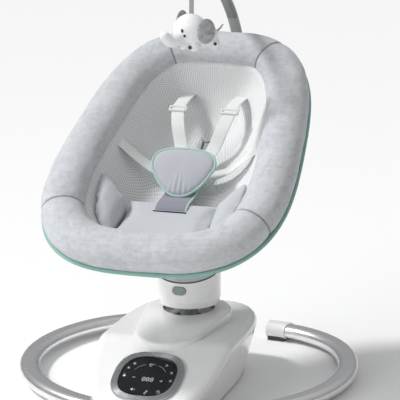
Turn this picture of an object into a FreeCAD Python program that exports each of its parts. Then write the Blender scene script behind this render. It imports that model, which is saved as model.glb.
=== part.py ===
import FreeCAD, Part
import math
import os

import Sketcher
from FreeCAD import Placement, Rotation, Vector

# Baby swing: a padded oval seat that reclines on one short neck, and a housing on a C-shaped
# floor tube whose gearmotor sways the neck from side to side.
# Millimetres, +Z up, front towards -Y. The origin is on the floor, under the neck.

doc = FreeCAD.newDocument("BabySwing")
sheet = doc.addObject("Spreadsheet::Sheet", "Sizes")

SIZES = {
    # floor tube
    "ring_radius": 296,
    "ring_end_radius": 205,
    "ring_end_start": 60,
    "ring_opening": 168,
    "tube_width": 38,
    "tube_depth": 24,
    "tube_wall": 1.8,
    "tube_height": 18,
    "cap_wall": 2.4,
    "cap_length": 42,
    "cap_closed": 6,
    "pad_height": 9,
    "pad_ridges": 3,
    "pad_ridge_depth": 1.2,
    "clamp_wall": 1.6,
    "clamp_length": 28,
    "clamp_angle": 8,
    # housing
    "hull_floor": 4,
    "hull_top": 130,
    "hull_front": -324,
    "hull_back": 152,
    "hull_half_width": 134,
    "hull_foot_front": -320,
    "hull_foot_back": 100,
    "hull_foot_half_width": 106,
    "hull_squareness": 3.3,
    "hull_wall": 3,
    "margin": 60,
    "tray_top": 7,
    "tube_gap": 0.4,
    "panel_gap": 0.4,
    "post_boss_radius": 6,
    "screw_radius": 2,
    "screw_length": 12,
    "screw_head": 2,
    "screw_front_x": 70,
    "screw_front_y": -205,
    "screw_back_x": 62,
    "screw_back_y": 70,
    "nut_height": 4,
    "foot_ring_radius": 76,
    "foot_ring_wall": 12,
    "front_foot_radius": 10,
    "front_foot_x": 62,
    "front_foot_y": -232,
    "clamp_flange": 16,
    "socket_width": 22,
    "socket_height": 14,
    "socket_length": 24,
    "socket_y": 112,
    "socket_z": 26,
    "socket_wall": 2.5,
    "speaker_radius": 25,
    "speaker_x": -52,
    "speaker_y": -128,
    "slit_pitch": 7,
    "slit_half_width": 1.5,
    "shoulder_radius": 15,
    "deck_angle": 24.5,
    "deck_height": 107,
    "deck_bend_radius": 60,
    "panel_y": -240,
    "panel_z": 64,
    # neck cowl
    "cowl_radius": 80,
    "cowl_nose_radius": 64,
    "cowl_nose_y": -113,
    "cowl_draft": 4,
    "cowl_lip_z": 109,
    "cowl_top_z": 126,
    "cowl_level_y": -30,
    "cowl_bend_radius": 400,
    "cowl_edge_radius": 7,
    "cowl_seat": 9,
    "dish_radius": 48,
    "dish_depth": 15,
    "dish_wall": 2.4,
    "slot_half_x": 27,
    "slot_half_y": 20,
    # display
    "bezel_radius": 63,
    "bezel_height": 5,
    "glass_radius": 51,
    "glass_thickness": 2,
    "panel_squareness": 2.7,
    "board_half": 38,
    "board_drop": 9,
    "board_thickness": 1.6,
    # sway axle and drive
    "axle_z": 60,
    "axle_radius": 6,
    "axle_length": 112,
    "running_play": 0.03,
    "bracket_plate": 3,
    "bracket_gap": 48,
    "bracket_half_width": 22,
    "bracket_base_half_x": 48,
    "bolt_x": 40,
    "bolt_y": 20,
    "clip_rim": 3,
    "clip_thickness": 1,
    "clip_play": 0.2,
    "hub_radius": 14,
    "hub_length": 80,
    "bush_wall": 2,
    "bush_length": 20,
    "flange_thickness": 2,
    "gear_module": 2,
    "sector_teeth": 60,
    "sector_span": 24,
    "pinion_teeth": 12,
    "gear_face": 8,
    "gear_y": -32,
    "gear_backlash": 0.35,
    "gear_boss_wall": 6,
    "motor_radius": 19,
    "motor_length": 60,
    "motor_gap": 6,
    "motor_bore": 14,
    "mount_foot": 14,
    "pinion_shaft_radius": 3,
    "sway_limit": 8,
    # neck
    "post_radius": 17,
    "post_wall": 2,
    "post_top": 236,
    "collar_radius": 59.5,
    "collar_foot_radius": 55,
    "collar_bottom": 138,
    "collar_top": 248,
    "collar_wall": 3,
    "collar_web_z": 148,
    "button_z": 173,
    "button_half_width": 13,
    "button_half_height": 8,
    "button_proud": 1.5,
    "button_travel": 3,
    "button_play": 0.4,
    "button_edge": 1.2,
    "button_flange": 2.5,
    "stem_radius": 4,
    "stem_length": 30,
    "spring_radius": 5.6,
    "spring_wire": 0.7,
    "spring_turns": 6,
    # recline hinge
    "recline": 29.3,
    "recline_y": -20,
    "recline_z": 268,
    "dome_radius": 88,
    "dome_wall": 3.5,
    "dome_gap": 2,
    "dome_reach": 90,
    "dome_slot_half": 42,
    "dome_slot_play": 4,
    "recline_pin_radius": 6,
    "yoke_radius": 14,
    "yoke_half_width": 30,
    "yoke_cap": 6,
    "pin_head_rim": 3,
    "pin_head_length": 2.5,
    "washer_thickness": 1.5,
    "recline_plate": 4,
    # seat
    "seat_z": 452.7,
    "seat_centre_y": -34,
    "seat_half_length": 274,
    "seat_half_width": 180,
    "seat_taper": 27,
    "seat_belly": 12,
    "head_squareness": 4,
    "foot_squareness": 3.2,
    "roll_half_width": 40,
    "roll_half_height": 33,
    "rim_tube_radius": 8,
    "rim_tube_wall": 1.5,
    "piping_radius": 3,
    "soft_gap": 0.5,
    "shell_wall": 3,
    "liner_wall": 4,
    "shell_depth": 108,
    "liner_depth": 92,
    # cushion and harness
    "cushion_half_width": 85,
    "cushion_back": -122,
    "webbing_width": 25,
    "webbing_thickness": 2,
    "crotch_width": 60,
    "slider_width": 32,
    "slider_height": 14,
    "slider_thickness": 5,
    "strap_play": 0.4,
    "pad_strap_gap": 2,
    "pad_half_width": 58,
    "pad_length": 93,
    "pad_thickness": 14,
    "pad_tilt": 25,
    "pad_top_radius": 30,
    "pad_foot_radius": 24,
    "pad_foot_x": 10,
    "pad_edge": 5,
    "buckle_width": 50,
    "buckle_length": 44,
    "buckle_thickness": 12,
    "press_radius": 8,
    "press_travel": 2.5,
    # toy bar
    "bar_radius": 330,
    "bar_centre_y": 35,
    "bar_centre_z": 400,
    "bar_heel_radius": 60,
    "bar_heel_angle": 35.6,
    "bar_foot_angle": -60,
    "bar_foot_length": 110,
    "bar_half_width": 11,
    "bar_half_depth": 6,
    "bar_joint_angle": 43,
    "bar_tip_angle": 93,
    "spigot_radius": 4,
    "spigot_length": 18,
    "tip_wall": 1.5,
    "lug_width": 15,
    "lug_depth": 8,
    "lug_height": 11,
    "lug_slot": 10,
    "lug_pin_radius": 1.5,
    "toy_strap_width": 9,
    "toy_strap_thickness": 1.2,
    "toy_radius": 31,
    "toy_turn": -32,
    "toy_z": 640,
    "trunk_radius": 8,
    "trunk_length": 24,
    "torso_radius": 23,
    "ear_radius": 22,
    "ear_thickness": 9,
}

for row, (alias, amount) in enumerate(SIZES.items(), start=1):
    sheet.set(f"A{row}", alias)
    sheet.set(f"B{row}", str(amount))
    sheet.setAlias(f"B{row}", alias)
doc.recompute()

X_AXIS = Vector(1, 0, 0)
Y_AXIS = Vector(0, 1, 0)
Z_AXIS = Vector(0, 0, 1)
ORIGIN = Vector(0, 0, 0)
BIG = 1000
parts = []


def size(alias):
    """The number that the sheet holds under this name."""
    return float(sheet.get(alias))


def sub_part(item, label):
    """Mark a document object as one finished piece."""
    item.Label = label
    parts.append(item)
    return item


def feature(label, shape, placement=None):
    """A piece whose shape is worked out here, with its place in its Placement."""
    item = doc.addObject("Part::Feature", label)
    item.Shape = shape.Solids[0] if len(shape.Solids) == 1 else shape
    if placement:
        item.Placement = placement.multiply(item.Placement)
    return sub_part(item, label)


def bind(item, formulas):
    """Tie an object's properties to the sheet."""
    for name, formula in formulas.items():
        item.setExpression(name, formula)
    return item


def primitive(kind, name, sizes, at=("0", "0", "0"), axis=Z_AXIS, angle=0):
    """A Part primitive with bound sizes and a bound place."""
    item = doc.addObject("Part::" + kind, name)
    item.Placement = Placement(ORIGIN, Rotation(axis, angle))
    bind(item, sizes)
    bind(item, {f"Placement.Base.{letter}": formula for letter, formula in zip("xyz", at)})
    return item


def cylinder(name, radius, length, at=("0", "0", "0"), axis=Z_AXIS, angle=0):
    return primitive("Cylinder", name, {"Radius": radius, "Height": length}, at, axis, angle)


def along_y(name, radius, length, at):
    """A cylinder that starts at a point and runs towards +Y."""
    return cylinder(name, radius, length, at, X_AXIS, -90)


def along_x(name, radius, length, at):
    """A cylinder that starts at a point and runs towards +X."""
    return cylinder(name, radius, length, at, Y_AXIS, 90)


def block(name, wide, deep, tall, at):
    return primitive("Box", name, {"Length": wide, "Width": deep, "Height": tall}, at)


def cut(name, base, tool):
    item = doc.addObject("Part::Cut", name)
    item.Base = base
    item.Tool = tool
    return item


def fuse(name, *shapes):
    item = doc.addObject("Part::MultiFuse", name)
    item.Shapes = list(shapes)
    return item


def group(name, *shapes):
    """Separate solids that share one node."""
    item = doc.addObject("Part::Compound", name)
    item.Links = list(shapes)
    return item


def origin_plane(body, role):
    return [item for item in body.Origin.OriginFeatures if item.Role == role][0]


def profile(body, role, corners):
    """A closed sketch of straight sides, each corner bound to two formulas."""
    sketch = body.newObject("Sketcher::SketchObject", body.Name + "_profile")
    sketch.AttachmentSupport = (origin_plane(body, role), [""])
    sketch.MapMode = "FlatFace"
    count = len(corners)
    rough = [Vector(first, second, 0) for _, _, first, second in corners]
    for index in range(count):
        sketch.addGeometry(Part.LineSegment(rough[index], rough[(index + 1) % count]))
    for index in range(count):
        following = (index + 1) % count
        sketch.addConstraint(Sketcher.Constraint("Coincident", index, 2, following, 1))
    for index, (across, up, first, second) in enumerate(corners):
        for kind, formula, guess in (("DistanceX", across, first), ("DistanceY", up, second)):
            rule = Sketcher.Constraint(kind, -1, 1, index, 1, guess)
            number = sketch.addConstraint(rule)
            sketch.setExpression(f"Constraints[{number}]", formula)
    return sketch


def turned(label, corners):
    """A body turned about the vertical axis from (radius, height) corners."""
    body = doc.addObject("PartDesign::Body", label)
    revolution = body.newObject("PartDesign::Revolution", label + "_turn")
    revolution.Profile = profile(body, "XZ_Plane", corners)
    revolution.ReferenceAxis = (revolution.Profile[0], ["V_Axis"])
    revolution.Angle = 360
    body.Tip = revolution
    return body


# ---------------------------------------------------------------- curves and outlines


def closed_curve(points):
    curve = Part.BSplineCurve()
    curve.interpolate(Points=points, PeriodicFlag=True)
    return Part.Wire(curve.toShape())


def rounded_square(angle, power):
    """A point at this angle on a unit circle squared off by the power."""
    across, along = math.cos(angle), math.sin(angle)
    reach = (abs(across) ** power + abs(along) ** power) ** (-1 / power)
    return reach * across, reach * along


def stadium(half_width, half_height, height):
    """A flat oval in the XZ plane, centred at this height on the Z axis."""
    flat = half_width - half_height
    top, bottom = height + half_height, height - half_height
    corner = [Vector(-flat, 0, top), Vector(flat, 0, top), Vector(flat, 0, bottom),
              Vector(-flat, 0, bottom)]
    right = Vector(half_width, 0, height)
    left = Vector(-half_width, 0, height)
    sides = [Part.LineSegment(corner[0], corner[1]), Part.Arc(corner[1], right, corner[2]),
             Part.LineSegment(corner[2], corner[3]), Part.Arc(corner[3], left, corner[0])]
    return Part.Wire([side.toShape() for side in sides])


def obround(half_width, half_height, radius):
    """A flat oval face in the XY plane, half_width long each way along X."""
    flat = half_width - radius
    sides = [Part.LineSegment(Vector(-flat, half_height, 0), Vector(flat, half_height, 0)),
             Part.Arc(Vector(flat, half_height, 0), Vector(half_width, 0, 0),
                      Vector(flat, -half_height, 0)),
             Part.LineSegment(Vector(flat, -half_height, 0), Vector(-flat, -half_height, 0)),
             Part.Arc(Vector(-flat, -half_height, 0), Vector(-half_width, 0, 0),
                      Vector(-flat, half_height, 0))]
    return Part.Face(Part.Wire([side.toShape() for side in sides]))


def arc_about(centre, radius, start, stop):
    """An arc in a horizontal plane; the angles are degrees from the front, towards +X."""
    def at(angle):
        turn = math.radians(angle)
        return centre + Vector(radius * math.sin(turn), -radius * math.cos(turn), 0)
    return Part.Arc(at(start), at((start + stop) / 2), at(stop))


# ---------------------------------------------------------------- floor tube

ring_radius = size("ring_radius")
end_radius = size("ring_end_radius")
tube_z = size("tube_height")
tube_bottom = tube_z - size("tube_depth") / 2
end_start = 180 - size("ring_end_start")
end_centre = arc_about(ORIGIN, ring_radius - end_radius, 0, end_start).EndPoint


def end_angle(across):
    """Where the right-hand end arc is this far from the middle, in degrees from the front."""
    return 180 - math.degrees(math.asin((across - end_centre.x) / end_radius))


cap_stop = end_angle(size("ring_opening") / 2)
cap_start = cap_stop - math.degrees(size("cap_length") / end_radius)
tube_stop = cap_stop - math.degrees(size("cap_closed") / end_radius)


def swept(path, section, start):
    """Sweep a section, drawn about the Z axis in the YZ plane, along a path in the floor plane."""
    first = path.OrderedVertexes[0].Point
    section.rotate(ORIGIN, Z_AXIS, start)
    section.translate(Vector(first.x, first.y, 0))
    return path.makePipeShell([section], True, False)


def tube_section(grow):
    section = stadium(size("tube_width") / 2 + grow, size("tube_depth") / 2 + grow, tube_z)
    section.rotate(ORIGIN, Z_AXIS, 90)
    return section


def ring_solid(grow):
    """The whole C of the floor tube, grown all round."""
    arcs = [arc_about(ORIGIN, ring_radius, 0, end_start),
            arc_about(end_centre, end_radius, end_start, tube_stop)]
    half = Part.Wire([arc.toShape() for arc in arcs])
    right = swept(half, tube_section(grow), 0)
    return right.fuse(right.mirror(ORIGIN, X_AXIS)).removeSplitter()


def end_piece(section, start, stop):
    path = Part.Wire([arc_about(end_centre, end_radius, start, stop).toShape()])
    return swept(path, section, start)


def pad_section():
    """A flat-bottomed pad with ridged sides, across the tube."""
    pitch = size("pad_height") / size("pad_ridges")
    deep = size("pad_ridge_depth")
    half = size("tube_width") / 2
    side = []
    for ridge in range(int(size("pad_ridges"))):
        side.append(Vector(0, half - deep, ridge * pitch))
        side.append(Vector(0, half, (ridge + 0.5) * pitch))
    side.append(Vector(0, half - deep, size("pad_height")))
    other = [Vector(0, -point.y, point.z) for point in reversed(side)]
    return Part.makePolygon(side + other + side[:1])


def mirrored(shape):
    return shape.mirror(ORIGIN, X_AXIS)


def both(shape):
    """A solid on the right together with its mirror image on the left."""
    return Part.makeCompound([shape, mirrored(shape)])


def two_sides(name, shape):
    """A piece on the right and its mirror image on the left."""
    feature("right_" + name, shape)
    feature("left_" + name, mirrored(shape))


feature("ring_tube", ring_solid(0).cut(ring_solid(-size("tube_wall"))))
cap_outer = end_piece(tube_section(size("cap_wall")), cap_start, cap_stop)
cap_bore = end_piece(tube_section(0), cap_start - 1, tube_stop)
two_sides("end_cap", cap_outer.cut(cap_bore))
pad_block = end_piece(pad_section(), cap_start + 1, cap_stop - 1)
feature("cap_pads", both(pad_block.cut(cap_outer)))

# ---------------------------------------------------------------- housing


def squared_outline(front, back, half_width, height, inset):
    """The housing's closed outline at one height."""
    middle, reach = (front + back) / 2, (back - front) / 2 - inset
    points = []
    for step in range(32):
        across, along = rounded_square(math.tau * step / 32, size("hull_squareness"))
        points.append(Vector((half_width - inset) * across, middle + reach * along, height))
    return closed_curve(points)


def under_profile(angle, through, level, bend_radius, drop):
    """Everything under a side profile that slopes up through a point, bends and runs level."""
    slope = math.tan(angle)
    corner_y = through.y + (level - through.z) / slope
    tangent = bend_radius * math.tan(angle / 2)
    top = level - drop
    lower = Vector(0, corner_y - tangent * math.cos(angle), top - tangent * math.sin(angle))
    upper = Vector(0, corner_y + tangent, top)
    crown = Vector(0, upper.y - bend_radius * math.sin(angle / 2),
                   top - bend_radius * (1 - math.cos(angle / 2)))
    front_y, back_y = size("hull_front") - size("margin"), size("hull_back") + size("margin")
    front = Vector(0, front_y, top - (corner_y - front_y) * slope)
    corners = [upper, Vector(0, back_y, top), Vector(0, back_y, -BIG),
               Vector(0, front_y, -BIG), front, lower]
    sides = [Part.Arc(lower, crown, upper)]
    sides.extend(Part.LineSegment(first, last) for first, last in zip(corners, corners[1:]))
    face = Part.Face(Part.Wire([side.toShape() for side in sides]))
    face.translate(Vector(-BIG / 2, 0, 0))
    return face.extrude(Vector(BIG, 0, 0))


def below_deck(drop):
    panel = Vector(0, size("panel_y"), size("panel_z"))
    return under_profile(math.radians(size("deck_angle")), panel, size("deck_height"),
                         size("deck_bend_radius"), drop)


def hull(inset, foot):
    """The flaring hull under the deck, with its shoulder rounded."""
    lower = squared_outline(size("hull_foot_front"), size("hull_foot_back"),
                            size("hull_foot_half_width"), foot, inset)
    upper = squared_outline(size("hull_front"), size("hull_back"),
                            size("hull_half_width"), size("hull_top"), inset)
    body = Part.makeLoft([lower, upper], True, True).common(below_deck(inset))
    shoulder = [edge for edge in body.Edges
                if edge.BoundBox.ZMin > foot + 1 and edge.Curve.TypeId != "Part::GeomLine"]
    return body.makeFillet(size("shoulder_radius") - inset, shoulder)


def cowl_plan(radius_step, height):
    """The cowl's outline: a round heel about the neck and a smaller round nose."""
    heel = size("cowl_radius") + radius_step
    nose = size("cowl_nose_radius") + radius_step
    reach = -size("cowl_nose_y")
    lean = math.asin((heel - nose) / reach)
    across, along = math.cos(lean), math.sin(lean)
    heel_right = Vector(heel * across, -heel * along, height)
    nose_right = Vector(nose * across, -reach - nose * along, height)
    heel_left = Vector(-heel_right.x, heel_right.y, height)
    nose_left = Vector(-nose_right.x, nose_right.y, height)
    sides = [Part.Arc(heel_right, Vector(0, heel, height), heel_left),
             Part.LineSegment(heel_left, nose_left),
             Part.Arc(nose_left, Vector(0, -reach - nose, height), nose_right),
             Part.LineSegment(nose_right, heel_right)]
    return Part.Wire([side.toShape() for side in sides])


def cowl_solid(inset):
    """The cowl's outer form down to the deck, drawn in by a wall."""
    low = cowl_plan(size("cowl_draft") - inset, size("tube_height"))
    high = cowl_plan(-inset, size("hull_top"))
    lip = Vector(0, size("cowl_nose_y") - size("cowl_nose_radius"), size("cowl_lip_z"))
    angle = math.atan2(size("cowl_top_z") - lip.z, size("cowl_level_y") - lip.y)
    top = under_profile(angle, lip, size("cowl_top_z"), size("cowl_bend_radius"), inset)
    solid = Part.makeLoft([low, high], True, True).common(top)
    rim = [edge for edge in solid.Edges
           if edge.BoundBox.ZMin > size("panel_z") and edge.BoundBox.YLength > 1]
    return solid.makeFillet(size("cowl_edge_radius") - inset, rim)


def on_deck(shape, height=0.0):
    """Turn a shape drawn flat about the origin onto the sloping deck at the panel."""
    tilt = Rotation(X_AXIS, size("deck_angle"))
    shape.Placement = Placement(Vector(0, size("panel_y"), size("panel_z")), tilt)
    if height:
        shape.translate(tilt.multVec(Vector(0, 0, height)))
    return shape


def panel_disc(radius, low, high):
    """A squared disc square to the deck, between two heights above it."""
    points = []
    for step in range(32):
        across, along = rounded_square(math.tau * step / 32, size("panel_squareness"))
        points.append(Vector(radius * across, radius * along, low))
    face = Part.Face(closed_curve(points))
    return on_deck(face.extrude(Vector(0, 0, high - low)))


wall = size("hull_wall")
gap = size("panel_gap")
hollow_hull = hull(0, size("hull_floor")).cut(hull(wall, size("hull_floor") - 1))
tube_way = ring_solid(size("tube_gap"))
cowl_opening = Part.Face(cowl_plan(-size("cowl_seat"), 0)).extrude(Vector(0, 0, BIG))
post_tops = [Vector(side * size(f"screw_{end}_x"), size(f"screw_{end}_y"), size("tray_top"))
             for end in ("front", "back") for side in (-1, 1)]


def post(radius, place, top=BIG):
    return Part.makeCylinder(radius, top, place)


screw_radius = size("screw_radius")
post_limit = hull(wall / 2, size("hull_floor"))
posts = [post(size("post_boss_radius"), place).common(post_limit) for place in post_tops]
shell = hollow_hull.fuse(posts)
for place in post_tops:
    shell = shell.cut(post(screw_radius, place, size("screw_length")))
shell = shell.cut(tube_way).cut(cowl_opening)
shell = shell.cut(panel_disc(size("glass_radius") + gap, -BIG / 20, BIG / 20))
socket_corner = Vector(-size("socket_width") / 2 - gap, size("socket_y") - size("socket_length"),
                       size("socket_z") - gap)
socket_hole = Part.makeBox(size("socket_width") + 2 * gap, BIG / 10,
                           size("socket_height") + 2 * gap, socket_corner)
housing = shell.cut(socket_hole)
feature("housing_shell", housing)

cowl = cowl_solid(0).cut(cowl_solid(wall)).cut(below_deck(0))
dish_hole = Part.makeCylinder(size("dish_radius"), BIG, ORIGIN)
feature("neck_cowl", cowl.cut(dish_hole))

# The dish hangs under the cowl's hole and has the slot that the neck post sways in.
dish = turned("dish_turn", [
    ("0", "Sizes.cowl_top_z - Sizes.hull_wall - Sizes.dish_depth", 0, 108),
    ("Sizes.dish_radius * 0.75", "Sizes.cowl_top_z - Sizes.hull_wall - Sizes.dish_depth", 36, 108),
    ("Sizes.dish_radius - Sizes.panel_gap",
     "Sizes.cowl_top_z - Sizes.hull_wall - Sizes.dish_depth / 2", 47.6, 115),
    ("Sizes.dish_radius - Sizes.panel_gap", "Sizes.cowl_top_z - Sizes.hull_wall * 2", 47.6, 120),
    ("Sizes.dish_radius - Sizes.panel_gap - Sizes.dish_wall",
     "Sizes.cowl_top_z - Sizes.hull_wall * 2", 45.2, 120),
    ("Sizes.dish_radius - Sizes.panel_gap - Sizes.dish_wall",
     "Sizes.cowl_top_z - Sizes.hull_wall - Sizes.dish_depth / 2 + Sizes.dish_wall / 2", 45.2, 117),
    ("Sizes.dish_radius * 0.75 - Sizes.dish_wall / 2",
     "Sizes.cowl_top_z - Sizes.hull_wall - Sizes.dish_depth + Sizes.dish_wall", 34.8, 110.4),
    ("0", "Sizes.cowl_top_z - Sizes.hull_wall - Sizes.dish_depth + Sizes.dish_wall", 0, 110.4),
])
doc.recompute()
slot = obround(size("slot_half_x"), size("slot_half_y"), size("slot_half_y"))
feature("neck_dish", dish.Shape.cut(slot.extrude(Vector(0, 0, BIG))))

# ---------------------------------------------------------------- tray and feet

tray_outline = squared_outline(size("hull_foot_front"), size("hull_foot_back"),
                               size("hull_foot_half_width"), size("hull_floor"),
                               wall + 2 * gap)
tray = Part.Face(tray_outline).extrude(Vector(0, 0, size("tray_top") - size("hull_floor")))
inside_ring = Part.makeCylinder(ring_radius - size("tube_width") / 2 - 1, BIG,
                                Vector(0, 0, -BIG / 2))
tray = tray.common(inside_ring)
bolt_places = [Vector(side * size("bolt_x"), end * size("bolt_y"), 0)
               for side in (-1, 1) for end in (-1, 1)]
for place in bolt_places + [Vector(point.x, point.y, 0) for point in post_tops]:
    tray = tray.cut(post(screw_radius, place))
speaker_place = Vector(size("speaker_x"), size("speaker_y"), size("tray_top"))
slit_half = size("slit_half_width")
for step in range(-2, 3):
    slit = obround(size("speaker_radius") * 0.7, slit_half, slit_half)
    slit = slit.extrude(Vector(0, 0, BIG / 10))
    slit.translate(Vector(speaker_place.x, speaker_place.y + size("slit_pitch") * step, 0))
    tray = tray.cut(slit)
feature("base_tray", tray)

foot_outer = cylinder("foot_outer", "Sizes.foot_ring_radius", "Sizes.hull_floor")
foot_inner = cylinder("foot_inner", "Sizes.foot_ring_radius - Sizes.foot_ring_wall",
                      "Sizes.hull_floor")
sub_part(cut("foot_ring_cut", foot_outer, foot_inner), "foot_ring")
front_feet = [cylinder(f"front_foot_{side}", "Sizes.front_foot_radius", "Sizes.hull_floor",
                       (f"{sign} * Sizes.front_foot_x", "Sizes.front_foot_y", "0"))
              for side, sign in (("left", -1), ("right", 1))]
sub_part(group("front_foot_pair", *front_feet), "front_feet")

# Saddle clamps hold the floor tube on the tray, one each side of the panel.
clamp_half = math.degrees(size("clamp_length") / ring_radius) / 2


def clamp():
    middle = size("clamp_angle")
    path = Part.Wire([arc_about(ORIGIN, ring_radius, middle - clamp_half,
                                middle + clamp_half).toShape()])
    outer = swept(path, tube_section(size("clamp_wall")), middle - clamp_half)
    inner = swept(path, tube_section(0.05), middle - clamp_half)
    flange_face = Part.Face(Part.makePolygon([
        Vector(0, 0, size("tray_top")),
        Vector(0, size("tube_width") / 2 + size("clamp_flange"), size("tray_top")),
        Vector(0, size("tube_width") / 2 + size("clamp_flange"),
               size("tray_top") + size("clamp_wall")),
        Vector(0, 0, size("tray_top") + size("clamp_wall")),
        Vector(0, 0, size("tray_top"))]))
    flange = swept(path, flange_face.OuterWire, middle - clamp_half)
    above = Part.makeBox(BIG, BIG, BIG, Vector(-BIG / 2, -BIG, size("tray_top")))
    return outer.fuse(flange).cut(inner).common(above)


feature("ring_clamps", both(clamp().cut(housing)))

# ---------------------------------------------------------------- display

bezel_outer = panel_disc(size("bezel_radius"), 0, size("bezel_height"))
feature("display_bezel", bezel_outer.cut(
    panel_disc(size("glass_radius") + gap, -1, size("bezel_height") + 1)))
glass_low = size("bezel_height") / 2 - size("glass_thickness")
feature("display_glass", panel_disc(size("glass_radius"), glass_low,
                                    glass_low + size("glass_thickness")))
board_half = size("board_half")
board = Part.makeBox(2 * board_half, 2 * board_half, size("board_thickness"),
                     Vector(-board_half, -board_half, -size("board_drop")))
feature("control_board", on_deck(board))

# ---------------------------------------------------------------- sway axle, drive and power

plate = "Sizes.bracket_plate"
bracket_base = block("bracket_base", "2 * Sizes.bracket_base_half_x",
                     f"2 * (Sizes.bracket_gap + {plate})", plate,
                     ("-Sizes.bracket_base_half_x", f"-Sizes.bracket_gap - {plate}",
                      "Sizes.tray_top"))
ears = [block(f"bracket_ear_{name}", "2 * Sizes.bracket_half_width", plate,
              "Sizes.axle_z + Sizes.bracket_half_width - Sizes.tray_top",
              ("-Sizes.bracket_half_width", at_y, "Sizes.tray_top"))
        for name, at_y in (("front", f"-Sizes.bracket_gap - {plate}"),
                           ("back", "Sizes.bracket_gap"))]
bracket_body = fuse("bracket_body", bracket_base, *ears)
axle_start = "-Sizes.axle_length / 2"
axle_hole = along_y("axle_hole", "Sizes.axle_radius", "Sizes.axle_length",
                    ("0", axle_start, "Sizes.axle_z"))
bolt_holes = [cylinder(f"bolt_hole_{number}", "Sizes.screw_radius", "Sizes.tray_top * 3",
                       (str(place.x), str(place.y), "0"))
              for number, place in enumerate(bolt_places)]
bracket_tools = fuse("bracket_tools", axle_hole, *bolt_holes)
sub_part(cut("bracket_cut", bracket_body, bracket_tools), "pivot_bracket")
sub_part(along_y("axle", "Sizes.axle_radius", "Sizes.axle_length",
                 ("0", axle_start, "Sizes.axle_z")), "pivot_shaft")
clips = []
clip_reach = f"Sizes.bracket_gap + {plate} + Sizes.clip_play"
for name, at_y in (("front", f"-({clip_reach}) - Sizes.clip_thickness"), ("back", clip_reach)):
    clip_at = ("0", at_y, "Sizes.axle_z")
    disc = along_y(f"clip_disc_{name}", "Sizes.axle_radius + Sizes.clip_rim",
                   "Sizes.clip_thickness", clip_at)
    bore = along_y(f"clip_bore_{name}", "Sizes.axle_radius", "Sizes.clip_thickness", clip_at)
    clips.append(cut(f"clip_{name}", disc, bore))
sub_part(group("clip_pair", *clips), "shaft_clips")

bolts = []
for number, place in enumerate(bolt_places):
    at_x, at_y = str(place.x), str(place.y)
    shank = cylinder(f"bolt_shank_{number}", "Sizes.screw_radius",
                     f"Sizes.tray_top + {plate} + Sizes.nut_height - Sizes.hull_floor",
                     (at_x, at_y, "Sizes.hull_floor"))
    head = cylinder(f"bolt_head_{number}", "Sizes.screw_radius * 2", "Sizes.screw_head",
                    (at_x, at_y, "Sizes.hull_floor - Sizes.screw_head"))
    nut = cylinder(f"bolt_nut_{number}", "Sizes.screw_radius * 2", "Sizes.nut_height",
                   (at_x, at_y, f"Sizes.tray_top + {plate}"))
    bolts.append(fuse(f"bolt_{number}", shank, head, nut))
sub_part(group("bolt_set", *bolts), "bracket_bolts")

screws = []
for number, place in enumerate(post_tops):
    at_x, at_y = str(place.x), str(place.y)
    shank = cylinder(f"screw_shank_{number}", "Sizes.screw_radius",
                     "Sizes.tray_top + Sizes.screw_length - Sizes.hull_floor",
                     (at_x, at_y, "Sizes.hull_floor"))
    head = cylinder(f"screw_head_{number}", "Sizes.screw_radius * 2", "Sizes.screw_head",
                    (at_x, at_y, "Sizes.hull_floor - Sizes.screw_head"))
    screws.append(fuse(f"screw_{number}", shank, head))
sub_part(group("screw_set", *screws), "shell_screws")

hub_body = along_y("hub_body", "Sizes.hub_radius", "Sizes.hub_length",
                   ("0", "-Sizes.hub_length / 2", "Sizes.axle_z"))
hub_bore = along_y("hub_bore", "Sizes.axle_radius + Sizes.bush_wall", "Sizes.hub_length",
                   ("0", "-Sizes.hub_length / 2", "Sizes.axle_z"))
sub_part(cut("hub_cut", hub_body, hub_bore), "swing_hub")

bushes = []
for name, start_y, flange_y in (
        ("front", "-Sizes.hub_length / 2", "-Sizes.hub_length / 2 - Sizes.flange_thickness"),
        ("back", "Sizes.hub_length / 2 - Sizes.bush_length", "Sizes.hub_length / 2")):
    sleeve = along_y(f"bush_sleeve_{name}", "Sizes.axle_radius + Sizes.bush_wall",
                     "Sizes.bush_length", ("0", start_y, "Sizes.axle_z"))
    flange = along_y(f"bush_flange_{name}", "Sizes.axle_radius + 2 * Sizes.bush_wall",
                     "Sizes.flange_thickness", ("0", flange_y, "Sizes.axle_z"))
    bore = along_y(f"bush_bore_{name}", "Sizes.axle_radius + Sizes.running_play",
                   "Sizes.axle_length", ("0", axle_start, "Sizes.axle_z"))
    bushes.append(cut(f"bush_{name}", fuse(f"bush_body_{name}", sleeve, flange), bore))
sub_part(group("bush_pair", *bushes), "hub_bushes")


def involute(base_radius, radius, offset):
    """A point on an involute at this radius, turned by the offset."""
    roll = math.sqrt(max((radius / base_radius) ** 2 - 1, 0))
    angle = roll - math.atan(roll) + offset
    return Vector(radius * math.cos(angle), radius * math.sin(angle), 0)


def tooth_edges(pitch_radius, middle):
    """One tooth's outline, root to root, about this angle."""
    module = size("gear_module")
    pressure = math.radians(20)
    base = pitch_radius * math.cos(pressure)
    root = pitch_radius - 1.25 * module
    tip = pitch_radius + module
    half = (math.pi * module / 2 - size("gear_backlash")) / 2 / pitch_radius
    start = -half - (math.tan(pressure) - pressure)
    low = max(base, root)
    radii = [low + (tip - low) * step / 4 for step in range(5)]
    flank = [involute(base, radius, start) for radius in radii]
    first = Vector(root * math.cos(start), root * math.sin(start), 0)
    rising = ([first] if root < low - 0.01 else []) + flank
    falling = [Vector(point.x, -point.y, 0) for point in reversed(rising)]
    turn = Rotation(Z_AXIS, math.degrees(middle))
    return [turn.multVec(point) for point in rising + falling]


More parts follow.
